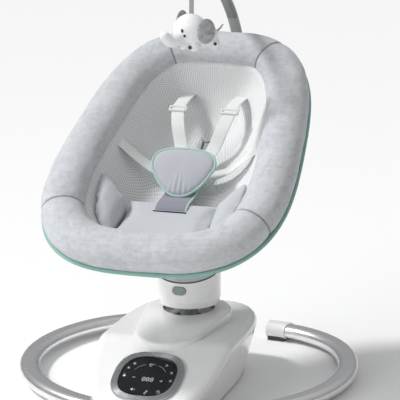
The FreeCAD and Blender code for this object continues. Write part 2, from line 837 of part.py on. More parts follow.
def toothed_wheel(pitch_radius, angles):
    """A plate outline through the teeth at these angles, in order."""
    points = []
    for angle in angles:
        points.extend(tooth_edges(pitch_radius, angle))
    return points


module = size("gear_module")
sector_pitch = module * size("sector_teeth") / 2
pinion_pitch = module * size("pinion_teeth") / 2
tooth_step = math.tau / size("sector_teeth")
sector_side = int(math.radians(size("sector_span")) / tooth_step)
sector_angles = [tooth_step * number for number in range(-sector_side, sector_side + 1)]
pinion_step = math.tau / size("pinion_teeth")
pinion_angles = [pinion_step * (number + 0.5) for number in range(int(size("pinion_teeth")))]


def upright_plate(points, face_width, centre):
    """Stand an XY outline up in the XZ plane, centred on the gear plane."""
    outline = Part.Face(Part.makePolygon(points + points[:1]))
    plate_solid = outline.extrude(Vector(0, 0, face_width))
    plate_solid.rotate(ORIGIN, X_AXIS, 90)
    plate_solid.translate(centre + Vector(0, face_width / 2, 0))
    return plate_solid


axle = Vector(0, size("gear_y"), size("axle_z"))
gear_face = size("gear_face")
sector_points = toothed_wheel(sector_pitch, sector_angles) + [ORIGIN]
sector = upright_plate(sector_points, gear_face, axle)
boss = Part.makeCylinder(size("hub_radius") + size("gear_boss_wall"), gear_face,
                         axle - Vector(0, gear_face / 2, 0), Y_AXIS)
hub_hole = Part.makeCylinder(size("hub_radius"), BIG, axle - Vector(0, BIG / 2, 0), Y_AXIS)
feature("sector_gear", sector.fuse(boss).cut(hub_hole))

pinion_axis = axle + Vector(sector_pitch + pinion_pitch, 0, 0)
pinion_hole = Part.makeCylinder(size("pinion_shaft_radius"), BIG,
                                pinion_axis - Vector(0, BIG / 2, 0), Y_AXIS)
pinion = upright_plate(toothed_wheel(pinion_pitch, pinion_angles), gear_face + 1, pinion_axis)
feature("drive_pinion", pinion.cut(pinion_hole))

pinion_x = "Sizes.gear_module * (Sizes.sector_teeth + Sizes.pinion_teeth) / 2"
mount_back = "Sizes.gear_y - Sizes.gear_face / 2 - Sizes.motor_gap"
mount_front = mount_back + " - Sizes.bracket_plate"
shaft_start = mount_front + " - Sizes.motor_bore"
sub_part(along_y("motor_shaft", "Sizes.pinion_shaft_radius",
                 "Sizes.motor_bore + Sizes.motor_gap + Sizes.gear_face + 4",
                 (pinion_x, shaft_start, "Sizes.axle_z")), "pinion_shaft")
gearbox = along_y("gearbox", "Sizes.motor_radius", "Sizes.motor_length * 0.5",
                  (pinion_x, mount_front + " - Sizes.motor_length * 0.5", "Sizes.axle_z"))
motor_can = along_y("motor_can", "Sizes.motor_radius * 0.75", "Sizes.motor_length * 0.5",
                    (pinion_x, mount_front + " - Sizes.motor_length", "Sizes.axle_z"))
motor_bore = along_y("motor_bore", "Sizes.pinion_shaft_radius + Sizes.running_play",
                     "Sizes.motor_bore + 1",
                     (pinion_x, shaft_start + " - 0.5", "Sizes.axle_z"))
sub_part(cut("motor_cut", fuse("motor_body", gearbox, motor_can), motor_bore), "drive_motor")
mount_plate = block("mount_plate", "2 * Sizes.motor_radius", plate,
                    "Sizes.axle_z + Sizes.motor_radius - Sizes.tray_top",
                    (pinion_x + " - Sizes.motor_radius", mount_front, "Sizes.tray_top"))
mount_foot = block("mount_foot", "2 * Sizes.motor_radius", "Sizes.mount_foot", plate,
                   (pinion_x + " - Sizes.motor_radius", mount_front + " - Sizes.mount_foot",
                    "Sizes.tray_top"))
mount_hole = along_y("mount_hole", "Sizes.motor_radius / 2", plate,
                     (pinion_x, mount_front, "Sizes.axle_z"))
sub_part(cut("mount_cut", fuse("mount_body", mount_plate, mount_foot), mount_hole), "motor_mount")

speaker_cone = primitive("Cone", "speaker_cone",
                         {"Radius1": "Sizes.speaker_radius", "Radius2": "Sizes.speaker_radius / 2",
                          "Height": "Sizes.speaker_radius * 0.6"},
                         (str(speaker_place.x), str(speaker_place.y), "Sizes.tray_top"))
speaker_magnet = cylinder("speaker_magnet", "Sizes.speaker_radius / 2",
                          "Sizes.speaker_radius * 0.3",
                          (str(speaker_place.x), str(speaker_place.y),
                           "Sizes.tray_top + Sizes.speaker_radius * 0.6"))
sub_part(fuse("speaker_body", speaker_cone, speaker_magnet), "speaker")

socket_body = block("socket_body", "Sizes.socket_width", "Sizes.socket_length",
                    "Sizes.socket_height",
                    ("-Sizes.socket_width / 2", "Sizes.socket_y - Sizes.socket_length",
                     "Sizes.socket_z"))
socket_mouth = block("socket_mouth", "Sizes.socket_width - 2 * Sizes.socket_wall",
                     "Sizes.socket_length * 0.6", "Sizes.socket_height - 2 * Sizes.socket_wall",
                     ("-Sizes.socket_width / 2 + Sizes.socket_wall",
                      "Sizes.socket_y - Sizes.socket_length * 0.6",
                      "Sizes.socket_z + Sizes.socket_wall"))
sub_part(cut("socket_cut", socket_body, socket_mouth), "power_socket")

# ---------------------------------------------------------------- neck

pivot = Vector(0, size("recline_y"), size("recline_z"))
dome = size("dome_radius")
collar = turned("collar_turn", [
    ("Sizes.collar_foot_radius - Sizes.collar_wall", "Sizes.collar_bottom", 52, 138),
    ("Sizes.collar_foot_radius", "Sizes.collar_bottom", 55, 138),
    ("Sizes.collar_radius", "Sizes.collar_bottom + 12", 59.5, 150),
    ("Sizes.collar_radius", "Sizes.collar_top", 59.5, 248),
    ("Sizes.collar_radius - Sizes.collar_wall", "Sizes.collar_top", 56.5, 248),
    ("Sizes.collar_radius - Sizes.collar_wall", "Sizes.collar_web_z + Sizes.collar_wall", 56.5, 151),
    ("Sizes.post_radius", "Sizes.collar_web_z + Sizes.collar_wall", 17, 151),
    ("Sizes.post_radius", "Sizes.collar_web_z", 17, 148),
    ("Sizes.collar_radius - Sizes.collar_wall * 2", "Sizes.collar_web_z", 53.5, 148),
])
doc.recompute()


def button_prism(grow, start_y, length):
    """The button's flat oval, running towards +Y."""
    half_height = size("button_half_height") + grow
    face = obround(size("button_half_width") + grow, half_height, half_height)
    solid = face.extrude(Vector(0, 0, length))
    solid.rotate(ORIGIN, X_AXIS, -90)
    solid.translate(Vector(0, start_y, size("button_z")))
    return solid


collar_y = -size("collar_radius")
socket_ball = Part.makeSphere(dome + size("dome_gap"), pivot)
collar_shape = collar.Shape.cut(socket_ball)
collar_shape = collar_shape.cut(button_prism(size("button_play"), collar_y - 5, 20))
feature("neck_collar", collar_shape)

button_y = collar_y - size("button_proud")
stem = Part.makeCylinder(size("stem_radius"), size("stem_length"),
                         Vector(0, button_y + size("button_edge"), size("button_z")), Y_AXIS)
flange_half = size("button_half_width") + size("button_flange")
inner_wall = size("collar_radius") - size("collar_wall")
button_flange_y = size("clip_play") - math.sqrt(inner_wall ** 2 - flange_half ** 2)
flange = button_prism(size("button_flange"), button_flange_y, size("flange_thickness"))
face_pad = button_prism(0, button_y, button_flange_y - button_y)
corner_edges = [edge for edge in face_pad.Edges if edge.BoundBox.YMax < button_y + 0.1]
face_pad = face_pad.makeFillet(size("button_edge"), corner_edges)
feature("release_button", face_pad.fuse([flange, stem]))

# The spring's wire keeps clear of the flange behind the button and of the neck post.
spring_y = button_flange_y + size("flange_thickness")
spring_length = -size("post_radius") - spring_y
spring_radius, wire_radius = size("spring_radius"), size("spring_wire")
wire_room = wire_radius + 0.1
spring_path = Part.makeHelix(spring_length / size("spring_turns"), spring_length - 2 * wire_room,
                             spring_radius)
spring_wire = Part.Wire(Part.makeCircle(wire_radius, Vector(spring_radius, 0, 0), Y_AXIS))
spring = Part.Wire(spring_path).makePipeShell([spring_wire], True, True)
spring.rotate(ORIGIN, X_AXIS, -90)
spring.translate(Vector(0, spring_y + wire_room, size("button_z")))
feature("button_spring", spring)

post_outer = cylinder("post_outer", "Sizes.post_radius", "Sizes.post_top - Sizes.axle_z",
                      ("0", "0", "Sizes.axle_z"))
post_inner = cylinder("post_inner", "Sizes.post_radius - Sizes.post_wall",
                      "Sizes.post_top - Sizes.axle_z", ("0", "0", "Sizes.axle_z"))
post_saddle = along_y("post_saddle", "Sizes.hub_radius", "Sizes.hub_length",
                      ("0", "-Sizes.hub_length / 2", "Sizes.axle_z"))
post_cuts = fuse("post_cuts", post_inner, post_saddle)
below_axle = cut("post_cut", post_outer, post_cuts)
doc.recompute()
above_axle = Part.makeBox(BIG, BIG, BIG, Vector(-BIG / 2, -BIG / 2, size("axle_z")))
feature("neck_tube", max(below_axle.Shape.common(above_axle).Solids, key=lambda one: one.Volume))

yoke_half = size("yoke_half_width")
yoke_eye = Part.makeCylinder(size("yoke_radius"), 2 * yoke_half,
                             pivot - Vector(yoke_half, 0, 0), X_AXIS)
yoke_block = Part.makeBox(size("post_radius"), size("post_radius") - pivot.y,
                          pivot.z - size("post_top"),
                          Vector(-size("post_radius") / 2, pivot.y, size("post_top")))
yoke_cap = Part.makeCylinder(size("post_radius"), size("yoke_cap"),
                             Vector(0, 0, size("post_top")))
yoke_bore = Part.makeCylinder(size("recline_pin_radius") + size("running_play"), BIG,
                              pivot - Vector(BIG / 2, 0, 0), X_AXIS)
feature("neck_yoke", yoke_eye.fuse([yoke_block, yoke_cap]).cut(yoke_bore))

# ---------------------------------------------------------------- seat frame, shell and roll

seat_place = Placement(Vector(0, 0, size("seat_z")), Rotation(X_AXIS, size("recline")))
seat_inverse = seat_place.inverse()


def rim_point(angle, offset, height):
    """A point on the seat's outline, moved out square to it by the offset."""
    def bare(turn):
        power = size("head_squareness") if math.sin(turn) > 0 else size("foot_squareness")
        across, along = rounded_square(turn, power)
        half = size("seat_half_width") - size("seat_taper") * along - size("seat_belly") * along ** 2
        return Vector(half * across, size("seat_centre_y") + size("seat_half_length") * along, height)
    nudge = 0.001
    run = bare(angle + nudge) - bare(angle - nudge)
    return bare(angle) + Vector(run.y, -run.x, 0).normalize() * offset


def rim_curve(offset, height, drawn=0.0):
    """The outline moved out by the offset, then drawn in at its sides and ends."""
    count = 40
    across = 1 - drawn / (size("seat_half_width") + offset)
    along = 1 - drawn / (size("seat_half_length") + offset)
    middle = size("seat_centre_y")
    points = [rim_point(math.tau * step / count, offset, height) for step in range(count)]
    return closed_curve([Vector(point.x * across, middle + (point.y - middle) * along, height)
                         for point in points])


def rim_sweep(half_width, half_height, offset=0.0, height=0.0):
    """A closed bead of oval section that follows the outline."""
    start = rim_point(0, offset, height)
    wide = half_width >= half_height
    major, minor = (half_width, half_height) if wide else (half_height, half_width)
    section = Part.Wire(Part.Ellipse(ORIGIN, major + (0.001 if major == minor else 0),
                                     minor).toShape())
    section.rotate(ORIGIN, X_AXIS, 90)
    section.translate(start)
    return rim_curve(offset, height).makePipeShell([section], True, False)


def bowl(offset, levels, grow=0.0):
    """A bowl lofted through the outline: each level is (how far drawn in, height)."""
    rings = [rim_curve(offset + grow, height - grow * (drawn > 0), drawn)
             for drawn, height in levels]
    return Part.makeLoft(rings, True, False)


roll_w, roll_h = size("roll_half_width"), size("roll_half_height")
soft = size("soft_gap")
frame_way = rim_sweep(size("rim_tube_radius"), size("rim_tube_radius"))
frame_inner = rim_sweep(size("rim_tube_radius") - size("rim_tube_wall"),
                        size("rim_tube_radius") - size("rim_tube_wall"))
roll = rim_sweep(roll_w, roll_h)
roll_clear = rim_sweep(roll_w + soft, roll_h + soft)
feature("rim_roll", roll.cut(frame_way), seat_place)
feature("rim_tube", frame_way.cut(frame_inner), seat_place)
piping_offset = roll_w - 1.5
feature("rim_piping", rim_sweep(size("piping_radius"), size("piping_radius"), piping_offset,
                                -roll_h * 0.6), seat_place)

shell_offset = roll_w - 6
depth = size("shell_depth")
shell_levels = [(0, -roll_h * 0.67), (34, -0.55 * depth), (84, -0.83 * depth), (139, -depth)]
shell_outer = bowl(shell_offset, shell_levels)
shell_inner = bowl(shell_offset, shell_levels, -size("shell_wall"))
feature("seat_shell", shell_outer.cut(shell_inner).cut(roll_clear), seat_place)

liner = size("liner_depth")
liner_offset = -roll_w - 2
liner_levels = [(0, -2), (20, -0.54 * liner), (53, -0.87 * liner), (83, -liner)]
liner_outer = bowl(liner_offset, liner_levels)
cavity = bowl(liner_offset, liner_levels, -size("liner_wall"))


def strap(points, wide, thick, side):
    """A flat band through points; the side vector is the direction of its width."""
    rings = []
    for index, point in enumerate(points):
        before, after = points[max(index - 1, 0)], points[min(index + 1, len(points) - 1)]
        run = (after - before).normalize()
        width = (side - run * side.dot(run)).normalize()
        up = run.cross(width)
        corners = [point + width * (wide / 2 * a) + up * (thick / 2 * b)
                   for a, b in ((-1, -1), (1, -1), (1, 1), (-1, 1))]
        rings.append(Part.makePolygon(corners + corners[:1]))
    return Part.makeLoft(rings, True, False)


def both_sides(name, shape):
    """A piece on the right of the seat and its mirror image on the left, in the seat's frame."""
    for side, solid in (("right_", shape), ("left_", mirrored(shape))):
        feature(side + name, solid, seat_place)


web_w, web_t = size("webbing_width"), size("webbing_thickness")
shoulder_route = [Vector(51, 176, -56), Vector(51, 150, -42), Vector(50, 122, -30),
                  Vector(50, 95, -25), Vector(43, 62, -36), Vector(31, 28, -58),
                  Vector(20, -6, -63), Vector(15, -20, -63)]
waist_route = [Vector(134, -13, -15), Vector(126, -16, -18), Vector(104, -24, -34),
               Vector(76, -32, -54), Vector(50, -38, -62), Vector(27, -42, -64)]
crotch_route = [Vector(0, -178, -58), Vector(0, -158, -47), Vector(0, -132, -48),
                Vector(0, -104, -58), Vector(0, -68, -65)]
side_way = Vector(0.15, 1, 0)


def shoulder_band(play=0.0):
    return strap(shoulder_route, web_w + play, web_t + play, X_AXIS)


def waist_band(play=0.0):
    return strap(waist_route, web_w + play, web_t + play, side_way)


def crotch_band(play=0.0):
    return strap(crotch_route, size("crotch_width") + play, web_t + play, X_AXIS)


strap_play, pad_strap_gap = size("strap_play"), size("pad_strap_gap")
liner_shape = liner_outer.cut(cavity).cut(roll_clear)
for slit in (shoulder_band(2 * soft), waist_band(2 * soft)):
    liner_shape = liner_shape.cut(slit).cut(mirrored(slit))
liner_shape = max(liner_shape.Solids, key=lambda one: one.Volume)
feature("seat_liner", liner_shape, seat_place)

room = bowl(liner_offset, liner_levels, -size("liner_wall") - soft)
cushion_half = size("cushion_half_width")
cushion_side = [Vector(-cushion_half, size("cushion_back"), -liner),
                Vector(-cushion_half, size("cushion_back"), -54),
                Vector(-cushion_half, -170, -50), Vector(-cushion_half, -246, -28),
                Vector(-cushion_half, -262, -30), Vector(-cushion_half, -262, -liner)]
cushion_block = Part.Face(Part.makePolygon(cushion_side + cushion_side[:1])).extrude(
    Vector(2 * cushion_half, 0, 0))
cushion = cushion_block.common(room).cut(crotch_band(pad_strap_gap))
feature("seat_cushion", max(cushion.Solids, key=lambda one: one.Volume), seat_place)
bolster_inner = cushion_half + 1
bolster_plan = [Vector(bolster_inner, -142, 0), Vector(bolster_inner, -262, 0),
                Vector(190, -262, 0), Vector(190, -100, 0), Vector(128, -100, 0)]
bolster_block = Part.Face(Part.makePolygon(bolster_plan + bolster_plan[:1])).extrude(
    Vector(0, 0, liner))
bolster_block.translate(Vector(0, 0, -liner))
bolster_top = Part.makeBox(BIG, BIG, BIG, Vector(0, -BIG / 2, 0))
bolster_top.rotate(ORIGIN, Y_AXIS, -28)
bolster_top.translate(Vector(cushion_half, 0, -36))
bolster = bolster_block.cut(bolster_top).common(room)
both_sides("bolster", max(bolster.Solids, key=lambda one: one.Volume))

both_sides("shoulder_strap", shoulder_band())
both_sides("waist_strap", waist_band())
feature("crotch_strap", crotch_band(), seat_place)

slider_w, slider_h = size("slider_width"), size("slider_height")
slider_t = size("slider_thickness")
slider = Part.makeBox(slider_w, slider_h, slider_t,
                      Vector(-slider_w / 2, -slider_h / 2, -slider_t / 2))
slider = slider.makeFillet(slider_t * 0.3, slider.Edges)
slider.translate(shoulder_route[3])
slider = slider.cut(shoulder_band(strap_play))
feature("strap_sliders", both(slider), seat_place)

buckle_w, buckle_l = size("buckle_width"), size("buckle_length")
buckle_t = size("buckle_thickness")
buckle_centre = Vector(0, -42, -64)
buckle = Part.makeBox(buckle_w, buckle_l, buckle_t,
                      buckle_centre - Vector(buckle_w / 2, buckle_l / 2, buckle_t / 2))
buckle = buckle.makeFillet(buckle_t / 4, buckle.Edges)
press_r, press_low = size("press_radius"), size("press_travel") + size("button_play")
for band in (shoulder_band(strap_play), waist_band(strap_play)):
    buckle = buckle.cut(band).cut(mirrored(band))
buckle = buckle.cut(crotch_band(strap_play))
buckle = buckle.cut(Part.makeCylinder(press_r + size("button_play"), buckle_t, buckle_centre))
feature("buckle_body", max(buckle.Solids, key=lambda one: one.Volume), seat_place)
press_high = buckle_centre.z + buckle_t / 2
press_button = Part.makeCylinder(press_r, buckle_t / 2 - press_low,
                                 buckle_centre + Vector(0, 0, press_low))
press_edges = [edge for edge in press_button.Edges if edge.BoundBox.ZMin > press_high - 0.5]
feature("buckle_button", press_button.makeFillet(press_r / 10, press_edges), seat_place)

pad_half, pad_len = size("pad_half_width"), size("pad_length")
top_r, foot_r = size("pad_top_radius"), size("pad_foot_radius")
top_x, top_y = pad_half - top_r, pad_len / 2 - top_r
foot_x, foot_y = size("pad_foot_x"), -pad_len / 2 + foot_r
pad_points = [Vector(0, pad_len / 2, 0), Vector(top_x, pad_len / 2 - 1, 0),
              Vector(pad_half, top_y, 0), Vector(pad_half - 8, -8, 0),
              Vector(foot_x + foot_r - 1, foot_y - 2, 0), Vector(foot_x + 4, -pad_len / 2 + 3, 0),
              Vector(0, -pad_len / 2, 0)]
pad_loop = pad_points + [Vector(-point.x, point.y, 0) for point in pad_points[-2:0:-1]]
pad_solid = Part.Face(closed_curve(pad_loop)).extrude(Vector(0, 0, size("pad_thickness")))
pad_edges = [edge for edge in pad_solid.Edges if edge.BoundBox.XLength > pad_half]
pad_solid = pad_solid.makeFillet(size("pad_edge"), pad_edges)
pad_solid.Placement = Placement(Vector(0, -62, -40), Rotation(X_AXIS, size("pad_tilt")))
pad_solid = pad_solid.cut(shoulder_band(pad_strap_gap)).cut(crotch_band(pad_strap_gap))
feature("crotch_pad", pad_solid, seat_place)

# ---------------------------------------------------------------- recline hinge

shell_outer_world = shell_outer.copy()
shell_outer_world.Placement = seat_place
seat_up = seat_place.Rotation.multVec(Z_AXIS)


def capsule(radius):
    return Part.makeSphere(radius, pivot).fuse(
        Part.makeCylinder(radius, size("dome_reach"), pivot, seat_up))


slot_half = size("post_radius") + size("dome_slot_play")
dome_slot = obround(size("dome_slot_half"), slot_half, slot_half)
dome_slot.rotate(ORIGIN, Z_AXIS, 90)
dome_way = dome_slot.extrude(Vector(0, 0, size("post_top")))
hub = capsule(dome).cut(capsule(dome - size("dome_wall"))).cut(dome_way).cut(shell_outer_world)
feature("seat_hub", max(hub.Solids, key=lambda one: one.Volume))

plate_x = yoke_half + size("washer_thickness")
thick = size("recline_plate")
washer_play = size("clip_play")
brackets = []
washers = []
for side in (-1, 1):
    low_x = plate_x if side > 0 else -plate_x - thick
    round_end = Part.makeCylinder(size("yoke_radius") + 2, thick,
                                  Vector(low_x, pivot.y, pivot.z), X_AXIS)
    arm = Part.makeBox(thick, 2 * (size("yoke_radius") + 2), size("dome_reach"),
                       Vector(low_x, -size("yoke_radius") - 2, 0))
    arm.Placement = Placement(Vector(0, pivot.y, pivot.z), seat_place.Rotation)
    brackets.append(round_end.fuse(arm))
    low_x = yoke_half + washer_play if side > 0 else -plate_x
    washers.append(Part.makeCylinder(size("yoke_radius") - 2, plate_x - yoke_half - washer_play,
                                     Vector(low_x, pivot.y, pivot.z), X_AXIS))
pin_r = size("recline_pin_radius")
pin_hole = Part.makeCylinder(pin_r, BIG, pivot - Vector(BIG / 2, 0, 0), X_AXIS)
feature("recline_brackets", Part.makeCompound(
    [plate_solid.cut(pin_hole).cut(shell_outer_world) for plate_solid in brackets]))
feature("recline_washers", Part.makeCompound([washer.cut(pin_hole) for washer in washers]))
pin_half = plate_x + thick
pin = Part.makeCylinder(pin_r, 2 * pin_half, pivot - Vector(pin_half, 0, 0), X_AXIS)
head = Part.makeCylinder(pin_r + size("pin_head_rim"), size("pin_head_length"),
                         pivot + Vector(pin_half, 0, 0), X_AXIS)
feature("recline_pin", pin.fuse([head, mirrored(head)]))

# ---------------------------------------------------------------- toy bar and toy

bar_centre = Vector(0, size("bar_centre_y"), size("bar_centre_z"))
bar_radius, heel_radius = size("bar_radius"), size("bar_heel_radius")
heel_angle = size("bar_heel_angle")


def on_arc(centre, radius, angle):
    turn = math.radians(angle)
    return centre + Vector(0, radius * math.cos(turn), radius * math.sin(turn))


def upright_arc(centre, radius, start, stop):
    return Part.Arc(on_arc(centre, radius, start), on_arc(centre, radius, (start + stop) / 2),
                    on_arc(centre, radius, stop))


def bar_sweep(curves, grow=0.0):
    """A flat-oval bar along curves in the YZ plane."""
    first = curves[0]
    run = first.tangent(first.FirstParameter)[0]
    section = stadium(size("bar_half_width") + grow, size("bar_half_depth") + grow, 0)
    section.rotate(ORIGIN, X_AXIS, math.degrees(math.atan2(run.z, run.y)))
    section.translate(first.value(first.FirstParameter))
    path = Part.Wire([curve.toShape() for curve in curves])
    return path.makePipeShell([section], True, False)


joint_angle, tip_angle = size("bar_joint_angle"), size("bar_tip_angle")
heel_centre = on_arc(bar_centre, bar_radius - heel_radius, heel_angle)
heel_end = on_arc(heel_centre, heel_radius, size("bar_foot_angle"))
foot_turn = math.radians(size("bar_foot_angle"))
foot_run = Vector(0, math.sin(foot_turn), -math.cos(foot_turn))
foot_start = heel_end + foot_run * size("bar_foot_length")
joint_gap = math.degrees(0.3 / bar_radius)
socket_curves = [Part.LineSegment(foot_start, heel_end),
                 upright_arc(heel_centre, heel_radius, size("bar_foot_angle"), heel_angle),
                 upright_arc(bar_centre, bar_radius, heel_angle, joint_angle - joint_gap)]
joint = on_arc(bar_centre, bar_radius, joint_angle)
joint_turn = math.radians(joint_angle)
joint_run = Vector(0, -math.sin(joint_turn), math.cos(joint_turn))
spigot_r, spigot_l = size("spigot_radius"), size("spigot_length")
spigot_way = Part.makeCylinder(spigot_r + 0.05, spigot_l + 1, joint, joint_run * -1)
socket = bar_sweep(socket_curves).cut(spigot_way).cut(shell_outer_world)
feature("toy_bar_socket", max(socket.Solids, key=lambda one: one.Volume))
arm_curve = [upright_arc(bar_centre, bar_radius, joint_angle, tip_angle)]
spigot = Part.makeCylinder(spigot_r, spigot_l + 2, joint + joint_run * 2, joint_run * -1)
feature("toy_bar_arm", bar_sweep(arm_curve).fuse(spigot))

bar_tip = on_arc(bar_centre, bar_radius, tip_angle)
lug_w, lug_d, slot_w = size("lug_width"), size("lug_depth"), size("lug_slot")
hang = bar_tip - Vector(0, 0, size("bar_half_depth") + 6)
tip_curve = [upright_arc(bar_centre, bar_radius, tip_angle - 2.5, tip_angle + 1.6)]
tip_cap = bar_sweep(tip_curve, size("tip_wall"))
lug = Part.makeBox(lug_w, lug_d, size("lug_height"), hang - Vector(lug_w, lug_d, lug_d) / 2)
lug_slot = Part.makeBox(slot_w, 2 * slot_w, size("lug_height") - 0.5,
                        hang - Vector(slot_w / 2, slot_w, 6))
lug_pin = Part.makeCylinder(size("lug_pin_radius"), lug_w, hang - Vector(lug_w / 2, 0, 0), X_AXIS)
feature("toy_bar_tip", tip_cap.fuse(lug.cut(lug_slot)).cut(bar_sweep(arm_curve)).fuse(lug_pin))

toy_centre = Vector(0, hang.y, size("toy_z"))
toy_r = size("toy_radius")
ribbon_w, ribbon_t = size("toy_strap_width"), size("toy_strap_thickness")
eye_bore = size("lug_pin_radius") + 0.1
eye = Part.makeCylinder(2 * size("lug_pin_radius"), ribbon_w, hang - Vector(ribbon_w / 2, 0, 0),
                        X_AXIS)
ribbon_foot = Vector(0, hang.y, toy_centre.z + toy_r - 8)
ribbon = Part.makeBox(ribbon_w, ribbon_t, hang.z - 2 - ribbon_foot.z,
                      ribbon_foot - Vector(ribbon_w, ribbon_t, 0) / 2)
head_ball = Part.makeSphere(toy_r, toy_centre)
eye_way = Part.makeCylinder(eye_bore, BIG, hang - Vector(BIG / 2, 0, 0), X_AXIS)
feature("toy_strap", eye.fuse(ribbon).cut(eye_way).cut(head_ball))
toy_facing = Rotation(Z_AXIS, size("toy_turn"))
face_way = toy_facing.multVec(Vector(0, -1, 0))
ear_way = toy_facing.multVec(X_AXIS)
trunk_root = toy_centre + face_way * (toy_r - 4) - Vector(0, 0, 5)
trunk = Part.makeCylinder(size("trunk_radius"), size("trunk_length"), trunk_root,
                          face_way + Vector(0, 0, 0.3))
trunk_tip = Part.makeSphere(size("trunk_radius"), trunk_root
                            + (face_way + Vector(0, 0, 0.3)).normalize() * size("trunk_length"))
torso = Part.makeSphere(size("torso_radius"), toy_centre - face_way * 12 - Vector(0, 0, 22))
feature("toy_body", head_ball.fuse([trunk, trunk_tip, torso]))
ear_t = size("ear_thickness")
ears = []
for side in (-1, 1):
    middle = toy_centre + ear_way * (side * (toy_r + 1)) - face_way * 6 + Vector(0, 0, 3)
    disc = Part.makeCylinder(size("ear_radius"), ear_t, middle - ear_way * (ear_t / 2), ear_way)
    disc = disc.makeFillet(ear_t * 0.4, disc.Edges)
    ears.append(max(disc.cut(head_ball).cut(torso).Solids, key=lambda one: one.Volume))
feature("toy_ears", Part.makeCompound(ears))

# ---------------------------------------------------------------- checks and export

doc.recompute()
for item in doc.Objects:
    if "Invalid" in item.State or "Error" in item.State:
        raise RuntimeError(f"{item.Label} failed: {item.State}")
os.makedirs("parts", exist_ok=True)
for item in parts:
    if item.Shape.isNull() or not item.Shape.isValid() or not item.Shape.Solids:
        raise RuntimeError(f"{item.Label} has no sound solid")
for item in parts:
    item.Shape.exportStep(f"parts/{item.Label}.step")
print(len(parts), "pieces written")
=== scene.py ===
"""Baby swing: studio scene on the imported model's frame."""
import math

import bmesh
import bpy
from mathutils import Matrix, Vector, noise


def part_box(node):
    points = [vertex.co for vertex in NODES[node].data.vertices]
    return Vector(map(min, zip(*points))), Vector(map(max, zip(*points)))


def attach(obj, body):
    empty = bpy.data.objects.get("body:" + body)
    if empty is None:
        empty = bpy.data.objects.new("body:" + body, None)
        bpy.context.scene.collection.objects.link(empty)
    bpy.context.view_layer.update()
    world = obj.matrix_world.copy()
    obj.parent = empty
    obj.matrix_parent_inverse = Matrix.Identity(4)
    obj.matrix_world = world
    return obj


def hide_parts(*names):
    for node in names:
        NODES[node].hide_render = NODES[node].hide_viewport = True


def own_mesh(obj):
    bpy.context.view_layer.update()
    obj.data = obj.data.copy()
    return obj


bl_info = {
    "name": "Baby Swing",
    "version": (1, 0, 0),
    "blender": (4, 5, 0),
    "location": "View3D > Sidebar > Swing",
    "description": "Builds the soft goods, finishes and stage of a powered baby swing",
    "category": "Object",
}

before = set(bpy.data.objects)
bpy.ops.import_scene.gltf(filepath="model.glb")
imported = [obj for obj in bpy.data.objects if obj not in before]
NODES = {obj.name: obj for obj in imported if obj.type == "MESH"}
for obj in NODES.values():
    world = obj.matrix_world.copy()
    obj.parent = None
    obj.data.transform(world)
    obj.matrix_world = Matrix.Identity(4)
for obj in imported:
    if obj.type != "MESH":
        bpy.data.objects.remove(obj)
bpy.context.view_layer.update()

# ---- pieces


def new_object(name, bm, material, body, *replaced):
    """Turns a bmesh into a smooth piece that rides on a body and may stand for nodes."""
    mesh = bpy.data.meshes.new(name)
    bm.normal_update()
    bm.to_mesh(mesh)
    bm.free()
    for face in mesh.polygons:
        face.use_smooth = True
    mesh.materials.append(material)
    piece = bpy.data.objects.new(name, mesh)
    bpy.context.scene.collection.objects.link(piece)
    if body:
        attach(piece, body)
    if replaced:
        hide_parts(*replaced)
    return piece


def paint(node, material):
    """Gives a carried-over node its finished material."""
    slots = NODES[node].data.materials
    if len(slots):
        for index in range(len(slots)):
            slots[index] = material
    else:
        slots.append(material)


# ---- shader nodes


def add_node(tree, kind, inputs, **settings):
    """Adds a node; each input is set to its value, or linked where that is a socket."""
    node = tree.nodes.new(kind)
    for key, value in settings.items():
        setattr(node, key, value)
    for key, value in inputs.items():
        if isinstance(value, bpy.types.NodeSocket):
            tree.links.new(value, node.inputs[key])
        else:
            node.inputs[key].default_value = value
    return node


def math_node(tree, operation, *values):
    return add_node(tree, "ShaderNodeMath", dict(enumerate(values)),
                    operation=operation).outputs[0]


def mixed(tree, share, first, second):
    """Mixes two colours, all of the second at a share of 1."""
    return add_node(tree, "ShaderNodeMix", {0: share, 6: first, 7: second},
                    data_type="RGBA").outputs[2]


def ranged(tree, value, to_min=0.0, to_max=1.0, from_min=0.0, from_max=1.0, **settings):
    """Carries a value from one range over to another."""
    return add_node(tree, "ShaderNodeMapRange", {
        "Value": value, "From Min": from_min, "From Max": from_max, "To Min": to_min,
        "To Max": to_max}, **settings).outputs["Result"]


def cloudy(tree, vector, scale, detail=2.0):
    """Soft noise between 0 and 1."""
    return add_node(tree, "ShaderNodeTexNoise", {
        "Vector": vector, "Scale": scale, "Detail": detail}).outputs["Fac"]


def coordinates(tree, name="Object"):
    return tree.nodes.new("ShaderNodeTexCoord").outputs[name]


# ---- shader groups


def new_group(name, *inputs):
    """A group with the given inputs, which puts out a colour, a roughness and a height."""
    group = bpy.data.node_groups.new(name, "ShaderNodeTree")
    for label, kind, value in inputs:
        socket = group.interface.new_socket(name=label, in_out="INPUT",
                                            socket_type="NodeSocket" + kind)
        if value is not None:
            socket.default_value = value
    for label, kind in (("Color", "Color"), ("Roughness", "Float"), ("Height", "Float")):
        group.interface.new_socket(name=label, in_out="OUTPUT",
                                   socket_type="NodeSocket" + kind)
    return group, group.nodes.new("NodeGroupInput").outputs


def put_out(group, *sources):
    """Links a colour, a roughness and a height to the group's outputs."""
    result = group.nodes.new("NodeGroupOutput")
    for index, source in enumerate(sources):
        group.links.new(source, result.inputs[index])
    return group


